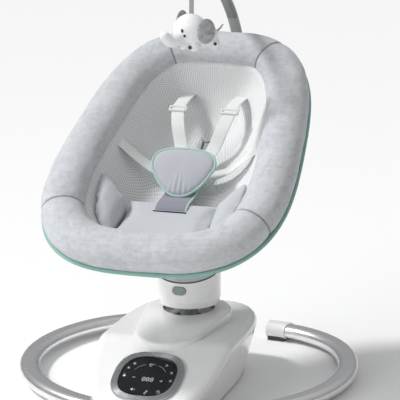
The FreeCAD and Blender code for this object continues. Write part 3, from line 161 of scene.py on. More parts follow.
def grain_group():
    """Fine mottled grain: a colour, a gloss and a height that vary."""
    group, given = new_group(
        "Grain", ("Base", "Color", (0.8, 0.8, 0.8, 1)), ("Second", "Color", (0.7, 0.7, 0.7, 1)),
        ("Scale", "Float", 200.0), ("Rough Low", "Float", 0.4), ("Rough High", "Float", 0.5))
    place = coordinates(group)
    fine = cloudy(group, place, given["Scale"], 4)
    broad = cloudy(group, place, 14, 3)
    share = ranged(group, math_node(group, "MULTIPLY", fine, broad),
                   from_min=0.12, from_max=0.42)
    return put_out(group, mixed(group, share, given["Second"], given["Base"]),
                   ranged(group, broad, given["Rough Low"], given["Rough High"]), fine)


def weave_group():
    """Cloth weave on the given vector: fine crossing ribs with uneven threads."""
    group, given = new_group(
        "Weave", ("Base", "Color", (0.8, 0.8, 0.8, 1)), ("Shade", "Color", (0.6, 0.6, 0.6, 1)),
        ("Vector", "Vector", None), ("Threads", "Float", 900.0))
    split = add_node(group, "ShaderNodeSeparateXYZ", {0: given["Vector"]}).outputs
    ribs = []
    for axis in ("X", "Y"):
        wave = math_node(group, "SINE",
                         math_node(group, "MULTIPLY", split[axis], given["Threads"]))
        ribs.append(math_node(group, "ADD", math_node(group, "MULTIPLY", wave, 0.5), 0.5))
    height = math_node(group, "MULTIPLY", *ribs)
    uneven = cloudy(group, given["Vector"], 60, 4)
    tone = math_node(group, "ADD", math_node(group, "MULTIPLY", height, 0.6),
                     math_node(group, "MULTIPLY", uneven, 0.5))
    return put_out(group, mixed(group, tone, given["Shade"], given["Base"]),
                   ranged(group, uneven, 0.75, 0.95), height)


def velour_group():
    """Heathered pile: nap clouds, crossing streaks and speckle, with painted shade along the
    seams' grooves.
    """
    group, given = new_group("Velour", ("Light", "Color", (0.8, 0.8, 0.8, 1)),
                             ("Dark", "Color", (0.5, 0.5, 0.5, 1)))
    place = coordinates(group)

    def nap(scale, detail, stretch_and_painted_shade=(1, 1, 1), turn=(0, 0, 0)):
        mapping = add_node(group, "ShaderNodeMapping", {
            "Vector": place, "Scale": stretch_and_painted_shade, "Rotation": turn})
        return cloudy(group, mapping.outputs["Vector"], scale, detail)

    streaks = nap(110, 4, (1, 0.22, 1), (0.2, 0.5, 0.7))
    crossing = nap(150, 4, (0.25, 1, 1), (0.6, 0.1, -0.5))
    speckle = nap(420, 2)
    tone = 0.0
    for layer, weight in ((nap(18, 3), 0.22), (streaks, 0.28), (crossing, 0.26),
                          (speckle, 0.24)):
        tone = math_node(group, "ADD", tone, math_node(group, "MULTIPLY", layer, weight))
    share = ranged(group, tone, from_min=0.40, from_max=0.57)
    # Painted shade: near-black mixed in along the seams' grooves, up to three quarters, by the
    # seam mask.
    seam = add_node(group, "ShaderNodeAttribute", {}, attribute_name="seam").outputs["Fac"]
    colour = mixed(group, math_node(group, "MULTIPLY", seam, 0.75),
                   mixed(group, share, given["Dark"], given["Light"]), (0.10, 0.10, 0.11, 1))
    height = math_node(group, "ADD", math_node(group, "MULTIPLY", speckle, 0.5), streaks)
    return put_out(group, colour, ranged(group, speckle, 0.80, 0.98), height)


GROUPS = {}
MATERIALS = {}

# ---- finishes


def shaded(colour, factor):
    return tuple(channel * factor for channel in colour[:3]) + (1.0,)


def new_finish(name, values):
    """A material with the given values on its shader's own sockets."""
    material = bpy.data.materials.new(name)
    material.use_nodes = True
    tree = material.node_tree
    shader = tree.nodes["Principled BSDF"]
    for key, value in values.items():
        shader.inputs[key].default_value = value
    return material, tree, shader


def dress(tree, shader, colour, roughness, height, strength, distance):
    """Feeds a colour, a roughness and a relief to a finish's shader."""
    relief = add_node(tree, "ShaderNodeBump", {
        "Height": height, "Strength": strength, "Distance": distance})
    for key, source in (("Base Color", colour), ("Roughness", roughness),
                        ("Normal", relief.outputs["Normal"])):
        tree.links.new(source, shader.inputs[key])


def dress_from_group(tree, shader, name, inputs, strength, distance):
    group = add_node(tree, "ShaderNodeGroup", inputs, node_tree=GROUPS[name])
    dress(tree, shader, *group.outputs[:3], strength, distance)


def grained(name, colour, rough, scale=250.0, bump=0.02, contrast=0.94, metallic=0.0,
            coat=0.0, spread=0.08):
    """A moulded, painted or metal finish with fine grain and uneven gloss."""
    material, tree, shader = new_finish(name, {
        "Metallic": metallic, "Coat Weight": coat, "Coat Roughness": 0.08})
    dress_from_group(tree, shader, "Grain", {
        "Base": (*colour[:3], 1.0), "Second": shaded(colour, contrast), "Scale": scale,
        "Rough Low": rough - spread, "Rough High": rough + spread}, bump, 0.0004)
    return material


def woven(name, colour, threads=1500.0, bump=0.4, contrast=0.8, sheen=0.2):
    """A woven or knitted cloth finish."""
    material, tree, shader = new_finish(name, {"Sheen Weight": sheen, "Sheen Roughness": 0.5})
    dress_from_group(tree, shader, "Weave", {
        "Base": (*colour[:3], 1.0), "Shade": shaded(colour, contrast),
        "Vector": coordinates(tree), "Threads": threads}, bump, 0.0006)
    return material


def pile(name, light, dark, sheen=0.35, strength=0.5):
    """A velour or plush finish."""
    material, tree, shader = new_finish(name, {
        "Sheen Weight": sheen, "Sheen Roughness": 0.45, "Specular IOR Level": 0.2})
    dress_from_group(tree, shader, "Velour", {"Light": (*light, 1.0), "Dark": (*dark, 1.0)},
                     strength, 0.0006)
    return material


# Staggered rows of dimples: three waves at 60 degrees, with this phase per pitch.
DIMPLE_PITCH, DIMPLE_PHASE = 0.0046, 7.255


def air_mesh(name, thread, hole):
    """White spacer mesh with staggered dimples, with painted shade: the dimples darker towards
    the left wall and fading towards the right.
    """
    material, tree, shader = new_finish(name, {"Sheen Weight": 0.15})
    split = add_node(tree, "ShaderNodeSeparateXYZ", {0: coordinates(tree, "UV")}).outputs
    total = 0.0
    for across, along in ((1.0, 0.0), (0.5, 0.866), (-0.5, 0.866)):
        phase = math_node(
            tree, "ADD",
            math_node(tree, "MULTIPLY", split["X"], across * DIMPLE_PHASE / DIMPLE_PITCH),
            math_node(tree, "MULTIPLY", split["Y"], along * DIMPLE_PHASE / DIMPLE_PITCH))
        total = math_node(tree, "ADD", total, math_node(tree, "COSINE", phase))
    dimples = ranged(tree, total, from_min=0.2, from_max=2.2, interpolation_type="SMOOTHSTEP")
    fade = cloudy(tree, coordinates(tree), 9)
    # Painted shade across the liner: more dark dimple towards the left wall (negative X), less
    # towards the right, as light falls.
    stretch_and_painted_shade = ranged(tree, split["X"], 0.55, -0.2, -0.15, 0.05)
    amount = math_node(tree, "MULTIPLY", dimples, math_node(tree, "ADD", fade, stretch_and_painted_shade))
    dress(tree, shader, mixed(tree, amount, (*thread, 1), (*hole, 1)),
          ranged(tree, fade, 0.75, 0.95), math_node(tree, "SUBTRACT", 1.0, dimples),
          0.55, 0.0007)
    return material


# Phase per metre of a wave one millimetre long, the webbing's two pitches in millimetres,
# and where its flat border starts from the middle in metres.
MILLIMETRE_WAVE, RIB_PITCH, TWILL_PITCH, BORDER = 6283, 1.3, 2.2, 0.0108


def webbing(name, colour):
    """Flat woven webbing: ribs across, a twill over them and a darker flat border."""
    material, tree, shader = new_finish(name, {"Sheen Weight": 0.1})
    split = add_node(tree, "ShaderNodeSeparateXYZ", {0: coordinates(tree, "UV")}).outputs
    rib = math_node(tree, "SINE", math_node(
        tree, "MULTIPLY", split["Y"], MILLIMETRE_WAVE / RIB_PITCH))
    twill = math_node(tree, "SINE", math_node(
        tree, "MULTIPLY", math_node(tree, "ADD", split["X"], split["Y"]),
        MILLIMETRE_WAVE / TWILL_PITCH))
    height = math_node(tree, "ADD", math_node(tree, "MULTIPLY", rib, 0.5), twill)
    edge = math_node(tree, "GREATER_THAN", math_node(tree, "ABSOLUTE", split["X"]), BORDER)
    tone = math_node(
        tree, "SUBTRACT",
        math_node(tree, "ADD", math_node(tree, "MULTIPLY", height, 0.12), 0.72),
        math_node(tree, "MULTIPLY", edge, 0.25))
    dress(tree, shader, mixed(tree, tone, shaded(colour, 0.62), (*colour, 1)),
          ranged(tree, tone, 0.6, 0.8), height, 0.35, 0.0003)
    return material


# ---- shapes

SEAT = Matrix.Translation((0, 0, 0.4527)) @ Matrix.Rotation(math.radians(29.3), 4, "X")
# The rim's centre line in the seat's plane: half sizes, middle, taper towards the head,
# bow of the sides, squareness of its two ends, and the steps that it is measured with.
HALF_LENGTH, HALF_WIDTH, MIDDLE = 0.274, 0.180, -0.034
TAPER, BOW = 0.027, 0.012
HEAD_SQUARENESS, FOOT_SQUARENESS = 4.0, 3.2
LINE_STEPS = 3600


def outline(turn, offset=0.0, drawn=0.0):
    """A point of the rim's line, moved out, then drawn in, and its outward direction."""
    def bare(angle):
        power = HEAD_SQUARENESS if math.sin(angle) > 0 else FOOT_SQUARENESS
        across, along = math.cos(angle), math.sin(angle)
        reach = (abs(across) ** power + abs(along) ** power) ** (-1 / power)
        across, along = across * reach, along * reach
        half = HALF_WIDTH - TAPER * along - BOW * along ** 2
        return Vector((half * across, MIDDLE + HALF_LENGTH * along, 0))
    run = bare(turn + 0.001) - bare(turn - 0.001)
    out = Vector((run.y, -run.x, 0)).normalized()
    point = bare(turn) + out * offset
    point.x *= 1 - drawn / (HALF_WIDTH + offset)
    point.y = MIDDLE + (point.y - MIDDLE) * (1 - drawn / (HALF_LENGTH + offset))
    return point, out


def even_turns(step, extra=()):
    """Turns that divide the outline evenly, with more beside the seams."""
    fine = [math.tau * index / LINE_STEPS for index in range(LINE_STEPS + 1)]
    points = [outline(turn)[0] for turn in fine]
    lengths = [0.0]
    for first, second in zip(points, points[1:]):
        lengths.append(lengths[-1] + (second - first).length)
    count = round(lengths[-1] / step)
    wanted = [lengths[-1] * index / count for index in range(count)]
    for seam in extra:
        middle = min(range(LINE_STEPS),
                     key=lambda index: (points[index] - seam).length)
        wanted += [lengths[middle] + shift for shift in (-0.003, -0.0012, 0.0, 0.0012, 0.003)]
    turns, index = [], 0
    for length in sorted(wanted):
        while lengths[index + 1] < length:
            index += 1
        share = (length - lengths[index]) / (lengths[index + 1] - lengths[index])
        turns.append(fine[index] + share * (fine[1] - fine[0]))
    return turns


def loop(bm, segments, place):
    """A closed loop of vertices, each placed by its turn, with its edges."""
    verts = bmesh.ops.create_circle(bm, segments=segments, radius=1)["verts"]
    for index, vert in enumerate(verts):
        vert.co = place(math.tau * index / segments)
    return verts, list(dict.fromkeys(edge for vert in verts for edge in vert.link_edges))


def skin(bm, loops, closed=False, caps=False):
    """Bridges loops into a skin, closed on itself or capped at its ends."""
    pairs = list(zip(loops, loops[1:])) + ([(loops[-1], loops[0])] if closed else [])
    for first, second in pairs:
        bmesh.ops.bridge_loops(bm, edges=first[1] + second[1])
    if caps:
        for end in (loops[0], loops[-1]):
            bmesh.ops.contextual_create(bm, geom=end[0])
    bmesh.ops.recalc_face_normals(bm, faces=bm.faces)


def smooth_path(points, count):
    """Evenly read points of a smooth line through the given ones."""
    curve = []
    padded = [points[0] * 2 - points[1]] + list(points) + [points[-1] * 2 - points[-2]]
    for a, b, c, d in zip(padded, padded[1:], padded[2:], padded[3:]):
        for index in range(count):
            t = index / count
            curve.append(0.5 * (b * 2 + (c - a) * t + (a * 2 - b * 5 + c * 4 - d) * t ** 2
                                + (b * 3 - a - c * 3 + d) * t ** 3))
    return curve + [points[-1].copy()]


def tube(bm, path, radius, segments=12, closed=False, side=None, thick=None):
    """A round tube, or a flat one with thick given, along a path.

    The radius may be a function of the share along the path.
    """
    loops = []
    last = len(path) - 1
    lift = side or Vector((0.3, 0.2, 1))
    for index, point in enumerate(path):
        before = path[index - 1] if index or closed else point
        after = path[(index + 1) % len(path)] if index < last or closed else point
        run = (after - before).normalized()
        across = (lift - run * lift.dot(run)).normalized()
        up = run.cross(across)
        wide = radius(index / last) if callable(radius) else radius
        deep = wide if thick is None else thick
        def place(turn, point=point, across=across, up=up, wide=wide, deep=deep):
            x, y = math.cos(turn), math.sin(turn)
            if thick is not None:
                x, y = (math.copysign(abs(x) ** 0.35, x), math.copysign(abs(y) ** 0.7, y))
            return point + across * (x * wide) + up * (y * deep)
        loops.append(loop(bm, segments, place))
        if side is None:
            lift = across
    skin(bm, loops, closed=closed, caps=not closed)


def ball(bm, place, radii, segments=32, rings=20):
    """A squashed ball at the place that a matrix gives."""
    bmesh.ops.create_uvsphere(bm, u_segments=segments, v_segments=rings, radius=1,
                              matrix=place @ Matrix.Diagonal((*radii, 1)))


def move(bm, matrix):
    bmesh.ops.transform(bm, matrix=matrix, verts=bm.verts)


def subdivide(piece):
    modifier = piece.modifiers.new("smooth", "SUBSURF")
    modifier.levels = modifier.render_levels = 1


def apply_modifiers(piece):
    depsgraph = bpy.context.evaluated_depsgraph_get()
    depsgraph.update()
    mesh = bpy.data.meshes.new_from_object(piece.evaluated_get(depsgraph))
    piece.modifiers.clear()
    old = piece.data
    piece.data = mesh
    bpy.data.meshes.remove(old)


def remesh(piece, voxel):
    """Joins a piece's shapes into one even closed mesh."""
    modifier = piece.modifiers.new("remesh", "REMESH")
    modifier.mode = "VOXEL"
    modifier.voxel_size = voxel
    apply_modifiers(piece)


def soften(piece, rounds):
    """Evens out a remeshed piece's surface."""
    bm = bmesh.new()
    bm.from_mesh(piece.data)
    for _ in range(rounds):
        bmesh.ops.smooth_vert(bm, verts=bm.verts, factor=0.5, use_axis_x=True, use_axis_y=True,
                              use_axis_z=True)
    bm.to_mesh(piece.data)
    bm.free()
    for face in piece.data.polygons:
        face.use_smooth = True


SWELL_VOXEL, SWELL_PRESSURE, SWELL_FRAMES = 0.005, 4.0, 20


def puff(piece, cap):
    """Swells a closed soft piece with a short cloth run, by no more than the cap."""
    remesh(piece, SWELL_VOXEL)
    before = [vert.co.copy() for vert in piece.data.vertices]
    cloth = piece.modifiers.new("cloth", "CLOTH")
    cloth.settings.use_pressure = True
    cloth.settings.uniform_pressure_force = SWELL_PRESSURE
    cloth.settings.effector_weights.gravity = 0
    cloth.settings.quality = 5
    scene = bpy.context.scene
    for step in range(1, SWELL_FRAMES + 1):
        scene.frame_set(step)
    apply_modifiers(piece)
    scene.frame_set(1)
    for vert, start in zip(piece.data.vertices, before):
        shift = vert.co - start
        if shift.length > cap:
            vert.co = start + shift.normalized() * cap
    soften(piece, 3)
    subdivide(piece)


def copy_of(node):
    """The node's solid as a merged mesh to shape further."""
    bm = bmesh.new()
    bm.from_mesh(NODES[node].data)
    bmesh.ops.remove_doubles(bm, verts=bm.verts, dist=1e-5)
    return bm


# ---- settings


class SwingSeatSettings(bpy.types.PropertyGroup):
    """Sizes of the seat's soft pieces."""
    roll_width: bpy.props.FloatProperty(
        name="Roll width", description="Width of the padded roll across the rim",
        default=0.0795, subtype="DISTANCE", unit="LENGTH")
    roll_height: bpy.props.FloatProperty(
        name="Roll height", description="Height of the padded roll",
        default=0.0655, subtype="DISTANCE", unit="LENGTH")


class SwingFinishSettings(bpy.types.PropertyGroup):
    """Colours of the finishes."""
    housing: bpy.props.FloatVectorProperty(
        name="Housing", description="Gloss white of the base", default=(0.91, 0.91, 0.90),
        subtype="COLOR", size=3, min=0, max=1)
    roll: bpy.props.FloatVectorProperty(
        name="Rim roll", description="Heathered velour of the rim", default=(0.55, 0.565, 0.59),
        subtype="COLOR", size=3, min=0, max=1)
    piping: bpy.props.FloatVectorProperty(
        name="Piping", description="Mint piping round the seat and pad",
        default=(0.27, 0.49, 0.43), subtype="COLOR", size=3, min=0, max=1)


class SwingStageSettings(bpy.types.PropertyGroup):
    """Camera, lights and sky."""
    camera_turn: bpy.props.FloatProperty(
        name="Camera turn", description="Camera's turn round the swing from the front",
        default=math.radians(17.3), subtype="ANGLE", unit="ROTATION")
    camera_tilt: bpy.props.FloatProperty(
        name="Camera tilt", description="How far the camera looks down",
        default=math.radians(14.23), subtype="ANGLE", unit="ROTATION")
    camera_distance: bpy.props.FloatProperty(
        name="Camera distance", description="Distance from the camera to its target",
        default=4.388, subtype="DISTANCE", unit="LENGTH")
    key_power: bpy.props.FloatProperty(
        name="Key light", description="Strength of the light from the upper left", default=2.15,
        min=0)
    front_power: bpy.props.FloatProperty(
        name="Front light", description="Power of the large light in front", default=50,
        subtype="POWER", unit="POWER")
    sky: bpy.props.FloatProperty(
        name="Sky", description="Strength of the light from all round", default=0.57, min=0)
    lens: bpy.props.FloatProperty(
        name="Lens", description="Focal length on a 36 mm frame", default=216.0,
        subtype="DISTANCE_CAMERA", unit="CAMERA")


class SWING_OT_finishes(bpy.types.Operator):
    """Make every finish and give the moulded, metal and glass pieces theirs"""
    bl_idname = "swing.finishes"
    bl_label = "Finishes"

    def execute(self, context):
        finish = context.scene.swing_finish
        GROUPS["Grain"] = grain_group()
        GROUPS["Weave"] = weave_group()
        GROUPS["Velour"] = velour_group()
        roll, mint = tuple(finish.roll), tuple(finish.piping)
        MATERIALS.update({
            "velour": pile("heathered velour", roll, shaded(roll, 0.80)[:3], sheen=0.2),
            "mint": woven("mint piping tape", mint, threads=3200, contrast=0.8, sheen=0.15),
            "pale mint": woven("pale mint binding", (0.42, 0.61, 0.56), threads=3200,
                               contrast=0.85, sheen=0.15),
            "air mesh": air_mesh("white air mesh", (0.74, 0.75, 0.75), (0.38, 0.41, 0.43)),
            "knit": woven("smooth cushion knit", (0.50, 0.52, 0.55), threads=3600,
                          contrast=0.92, bump=0.12, sheen=0.3),
            "webbing": webbing("pale webbing", (0.84, 0.86, 0.85)),
            "satin": woven("sleeve satin", (0.25, 0.25, 0.31), threads=3000, contrast=0.85,
                           bump=0.1, sheen=0.3),
            "pad satin": woven("crotch pad satin", (0.47, 0.48, 0.53), threads=3600,
                               contrast=0.9, bump=0.1, sheen=0.3),
            "silver": grained("silver paint", (0.46, 0.47, 0.48), 0.28, metallic=0.85),
            "lit mark": grained("lit mark", (0.9, 0.92, 0.93), 0.5),
            "satin white": grained("satin white plastic", (0.74, 0.74, 0.73), 0.35),
            "plush": pile("white plush", (0.85, 0.85, 0.86), (0.78, 0.78, 0.79), strength=0.8),
            "ear plush": pile("grey ear plush", (0.46, 0.47, 0.48), (0.24, 0.25, 0.26),
                              strength=0.8),
            # Dark thread for the toy's stitches, also used as the painted shadow in the sleeve's
            # slit.
            "dark thread and painted shadow": woven("dark stitching and painted shadow", (0.02, 0.02, 0.025), threads=4000),
            "grey ribbon": woven("grey ribbon", (0.42, 0.43, 0.44), threads=3800),
        })
        white = grained("gloss white plastic", finish.housing, 0.20, coat=0.6, bump=0.01)
        for node in ("housing_shell", "neck_cowl", "neck_collar", "left_end_cap",
                     "right_end_cap"):
            paint(node, white)
        steel = grained("turned steel", (0.55, 0.56, 0.57), 0.3, metallic=1, scale=500)
        zinc = grained("zinc plate", (0.62, 0.63, 0.62), 0.35, metallic=1, scale=300, bump=0.05)
        acetal = grained("acetal", (0.70, 0.68, 0.62), 0.4)
        rubber = grained("dark rubber", (0.02, 0.02, 0.02), 0.65, bump=0.1)
        black = grained("black plastic", (0.015, 0.015, 0.016), 0.4, bump=0.08)
        finishes = {
            grained("satin aluminium tube", (0.88, 0.88, 0.89), 0.27, metallic=1, scale=700,
                    spread=0.04, bump=0.03): ("ring_tube",),
            rubber: ("foot_ring", "front_feet"),
            grained("grey rubber", (0.10, 0.10, 0.105), 0.6, bump=0.1): ("cap_pads",),
            steel: ("ring_clamps", "pivot_bracket", "pivot_shaft", "motor_mount",
                    "pinion_shaft", "recline_pin", "recline_brackets"),
            zinc: ("shaft_clips", "bracket_bolts", "shell_screws"),
            acetal: ("hub_bushes", "sector_gear", "drive_pinion", "recline_washers"),
            black: ("speaker", "power_socket"),
            grained("grey tray plastic", (0.30, 0.31, 0.32), 0.5, bump=0.1): ("base_tray",),
            grained("grey dish plastic", (0.75, 0.75, 0.76), 0.35): ("neck_dish",),
            MATERIALS["silver"]: ("display_bezel",),
            grained("black touch glass", (0.004, 0.004, 0.005), 0.10, spread=0.02,
                    bump=0.0): ("display_glass",),
            grained("green circuit board", (0.02, 0.12, 0.05), 0.4): ("control_board",),
            grained("motor can", (0.35, 0.36, 0.37), 0.35, metallic=1): ("drive_motor",),
            grained("post aluminium", (0.60, 0.61, 0.62), 0.3, metallic=1): (
                "swing_hub", "neck_tube", "neck_yoke"),
            grained("grey green button", (0.26, 0.32, 0.31), 0.35, bump=0.05): (
                "release_button",),
            grained("pale grey hub plastic", (0.50, 0.51, 0.52), 0.32, coat=0.2): ("seat_hub",),
            grained("grey seat shell", (0.42, 0.44, 0.46), 0.45, bump=0.1): ("seat_shell",),
            grained("rim steel", (0.40, 0.41, 0.42), 0.4, metallic=1): ("rim_tube",),
            grained("white buckle plastic", (0.66, 0.66, 0.67), 0.35): ("buckle_body",),
            grained("buckle button plastic", (0.35, 0.40, 0.40), 0.35): ("buckle_button",),
            grained("light bar plastic", (0.30, 0.305, 0.31), 0.32, coat=0.15): (
                "toy_bar_socket", "toy_bar_tip"),
            grained("grey bar plastic", (0.16, 0.165, 0.17), 0.32, coat=0.15): ("toy_bar_arm",),
        }
        for material, nodes in finishes.items():
            for node in nodes:
                paint(node, material)
        # The coil is a copy of the button spring's solid, in zinc, on a mesh of its own.
        coil = new_object("button_coil", copy_of("button_spring"), zinc, "swing", "button_spring")
        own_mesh(coil)
        return {"FINISHED"}


# ---- operators


# The point that the lights face, and the camera's target: its height and how far it lies
# to the right of the swing's middle.
LIT_POINT = Vector((0, 0, 0.3))
VIEW_HEIGHT, VIEW_SHIFT = 0.3297, 0.0207


class SWING_OT_stage(bpy.types.Operator):
    """Make the pale floor, the soft lights and the camera"""
    bl_idname = "swing.stage"
    bl_label = "Stage"

    def execute(self, context):
        stage = context.scene.swing_stage
        floor_mesh = bmesh.new()
        bmesh.ops.create_grid(floor_mesh, x_segments=1, y_segments=1, size=30)
        material, _, _ = new_finish("pale floor", {
            "Base Color": (0.92, 0.92, 0.92, 1), "Roughness": 0.7, "Specular IOR Level": 0.2})
        floor = new_object("floor", floor_mesh, material, None)

        world = bpy.data.worlds.new("studio")
        context.scene.world = world
        world.use_nodes = True
        tree = world.node_tree
        backdrop = tree.nodes["Background"]
        backdrop.inputs["Strength"].default_value = stage.sky
        height = add_node(tree, "ShaderNodeSeparateXYZ", {0: coordinates(tree, "Generated")})
        tones = add_node(tree, "ShaderNodeValToRGB", {
            "Fac": ranged(tree, height.outputs["Z"], from_min=-0.1, from_max=0.9)})
        tones.color_ramp.elements[0].color = (0.30, 0.31, 0.32, 1)
        tones.color_ramp.elements[1].color = (1, 1, 1, 1)
        tree.links.new(tones.outputs["Color"], backdrop.inputs["Color"])

        for name, kind, place, size, power in (
                ("key", "SUN", (-1.75, -0.2, 2.5), math.radians(9), stage.key_power),
                ("front", "AREA", (-2.2, -3.0, 1.9), 2.0, stage.front_power)):
            light = bpy.data.lights.new(name, kind)
            if kind == "SUN":
                light.angle = size
            else:
                light.size = size
            light.energy = power
            lamp = bpy.data.objects.new(name, light)
            context.scene.collection.objects.link(lamp)
            lamp.location = place
            aim = LIT_POINT - Vector(place)
            lamp.rotation_euler = aim.to_track_quat("-Z", "Y").to_euler()
        context.scene.view_settings.view_transform = "Standard"

        turn, tilt = stage.camera_turn, stage.camera_tilt
        look = Vector((-math.sin(turn) * math.cos(tilt), math.cos(turn) * math.cos(tilt),
                       -math.sin(tilt)))
        target = (Vector((math.cos(turn), math.sin(turn), 0)) * VIEW_SHIFT
                  + Vector((0, 0, VIEW_HEIGHT)))
        camera = bpy.data.objects.new("camera", bpy.data.cameras.new("camera"))
        context.scene.collection.objects.link(camera)
        camera.data.lens = stage.lens
        camera.data.sensor_width = 36
        camera.data.clip_end = 100
        camera.location = target - look * stage.camera_distance
        camera.rotation_euler = look.to_track_quat("-Z", "Y").to_euler()
        context.scene.camera = camera
        return {"FINISHED"}


# The display's place on the sloping deck, the height of its glass over that, the width of
# a lit line, and the squareness, radius and height of the ring's ribs.
DECK = (Matrix.Translation((0, -0.240, 0.064))
        @ Matrix.Rotation(math.radians(24.5), 4, "X"))
GLASS, LINE = 0.00265, 0.0009
RIB_SQUARENESS, RIB_RADIUS, RIB_HEIGHT = 2.7, 0.00062, 0.0050


def mark(bm, across, along, wide, tall, turn=0.0):
    """A thin lit bar on the glass."""
    place = (Matrix.Translation((across, along, GLASS)) @ Matrix.Rotation(turn, 4, "Z")
             @ Matrix.Diagonal((wide, tall, 0.0002, 1)))
    made = bmesh.ops.create_cube(bm, size=1, matrix=place)["verts"]
    edges = [edge for edge in dict.fromkeys(edge for vert in made for edge in vert.link_edges)
             if abs(edge.verts[0].co.z - edge.verts[1].co.z) > 0.0001]
    bmesh.ops.bevel(bm, geom=edges, offset=min(wide, tall) * 0.4, segments=2, profile=0.5,
                    affect="EDGES", material=-1)


def ring_mark(bm, across, along, radius, start=0.0, stop=360.0, line=0.0005):
    """A thin lit ring or arc on the glass."""
    closed = stop - start >= 360
    count = 24
    path = [Vector((across + radius * math.cos(turn), along + radius * math.sin(turn), GLASS))
            for turn in (math.radians(start + (stop - start) * index / count)
                         for index in range(count if closed else count + 1))]
    tube(bm, path, line, segments=6, closed=closed, side=Vector((0, 0, 1)), thick=0.0001)


def digit(bm, across, along):
    """One seven-bar figure, all its bars lit."""
    high = 0.009
    half, wide = high / 2, high * 0.42
    for y in (-half, 0, half):
        mark(bm, across, along + y, wide * 0.9, LINE)
    for x in (-wide / 2 - 0.0004, wide / 2 + 0.0004):
        for y in (-half / 2, half / 2):
            mark(bm, across + x, along + y, LINE, half * 0.8)


class SWING_OT_display(bpy.types.Operator):
    """Make the fine ribs of the display ring and the lit symbols on its glass"""
    bl_idname = "swing.display"
    bl_label = "Display"

    def execute(self, context):
        bm = bmesh.new()
        for reach in (0.0530, 0.0549, 0.0568, 0.0587, 0.0606):
            path = []
            for index in range(96):
                turn = math.tau * index / 96
                across, along = math.cos(turn), math.sin(turn)
                out = reach * (abs(across) ** RIB_SQUARENESS
                               + abs(along) ** RIB_SQUARENESS) ** (-1 / RIB_SQUARENESS)
                path.append(Vector((across * out, along * out, RIB_HEIGHT)))
            tube(bm, path, RIB_RADIUS, segments=8, closed=True, side=Vector((0, 0, 1)))
        move(bm, DECK)
        new_object("display_ribs", bm, MATERIALS["silver"], "base")

        bm = bmesh.new()
        for shift in (-0.0075, 0.0, 0.0075):
            digit(bm, 0.002 + shift, -0.006)
        mark(bm, -0.0244, -0.0035, 0.0055, LINE)
        mark(bm, 0.0274, -0.0074, 0.0055, LINE)
        mark(bm, 0.0274, -0.0074, 0.0055, LINE, math.pi / 2)
        for start, stop in ((28, 68), (78, 102), (112, 152)):
            ring_mark(bm, 0, 0, 0.0330, start, stop, 0.00028)
        for across, along in ((-0.0410, 0.0190), (-0.0330, 0.0310), (0.0260, 0.0335),
                              (0.0400, 0.0155), (0.0440, -0.0052)):
            ring_mark(bm, across, along, 0.0024)
            mark(bm, across, along, 0.0022, 0.0022)
        ring_mark(bm, -0.0028, 0.0306, 0.0032)
        mark(bm, -0.0028, 0.0306, 0.0008, 0.0030)
        mark(bm, -0.0427, -0.0020, 0.0052, 0.0040)
        ring_mark(bm, -0.0427, 0.0008, 0.0018, 0, 180)
        mark(bm, -0.0195, -0.0347, 0.0030, 0.0030)
        mark(bm, -0.0180, -0.0347, 0.0018, 0.0058)
        ring_mark(bm, -0.0170, -0.0347, 0.0034, -50, 50)
        mark(bm, 0.0078, -0.0390, 0.0010, 0.0070)
        mark(bm, 0.0094, -0.0356, 0.0036, 0.0011, -0.4)
        ring_mark(bm, 0.0064, -0.0425, 0.0012, line=0.0008)
        ring_mark(bm, 0.0298, -0.0355, 0.0036)
        mark(bm, 0.0298, -0.0344, 0.0008, 0.0026)
        mark(bm, 0.0308, -0.0355, 0.0022, 0.0008)
        move(bm, DECK)
        new_object("display_marks", bm, MATERIALS["lit mark"], "base")
        return {"FINISHED"}


# Where the roll's seams cross its line on the right side, and the piping's radius.
SEAMS = ((0.098, 0.223), (0.174, -0.217))
PIPING_RADIUS = 0.0038


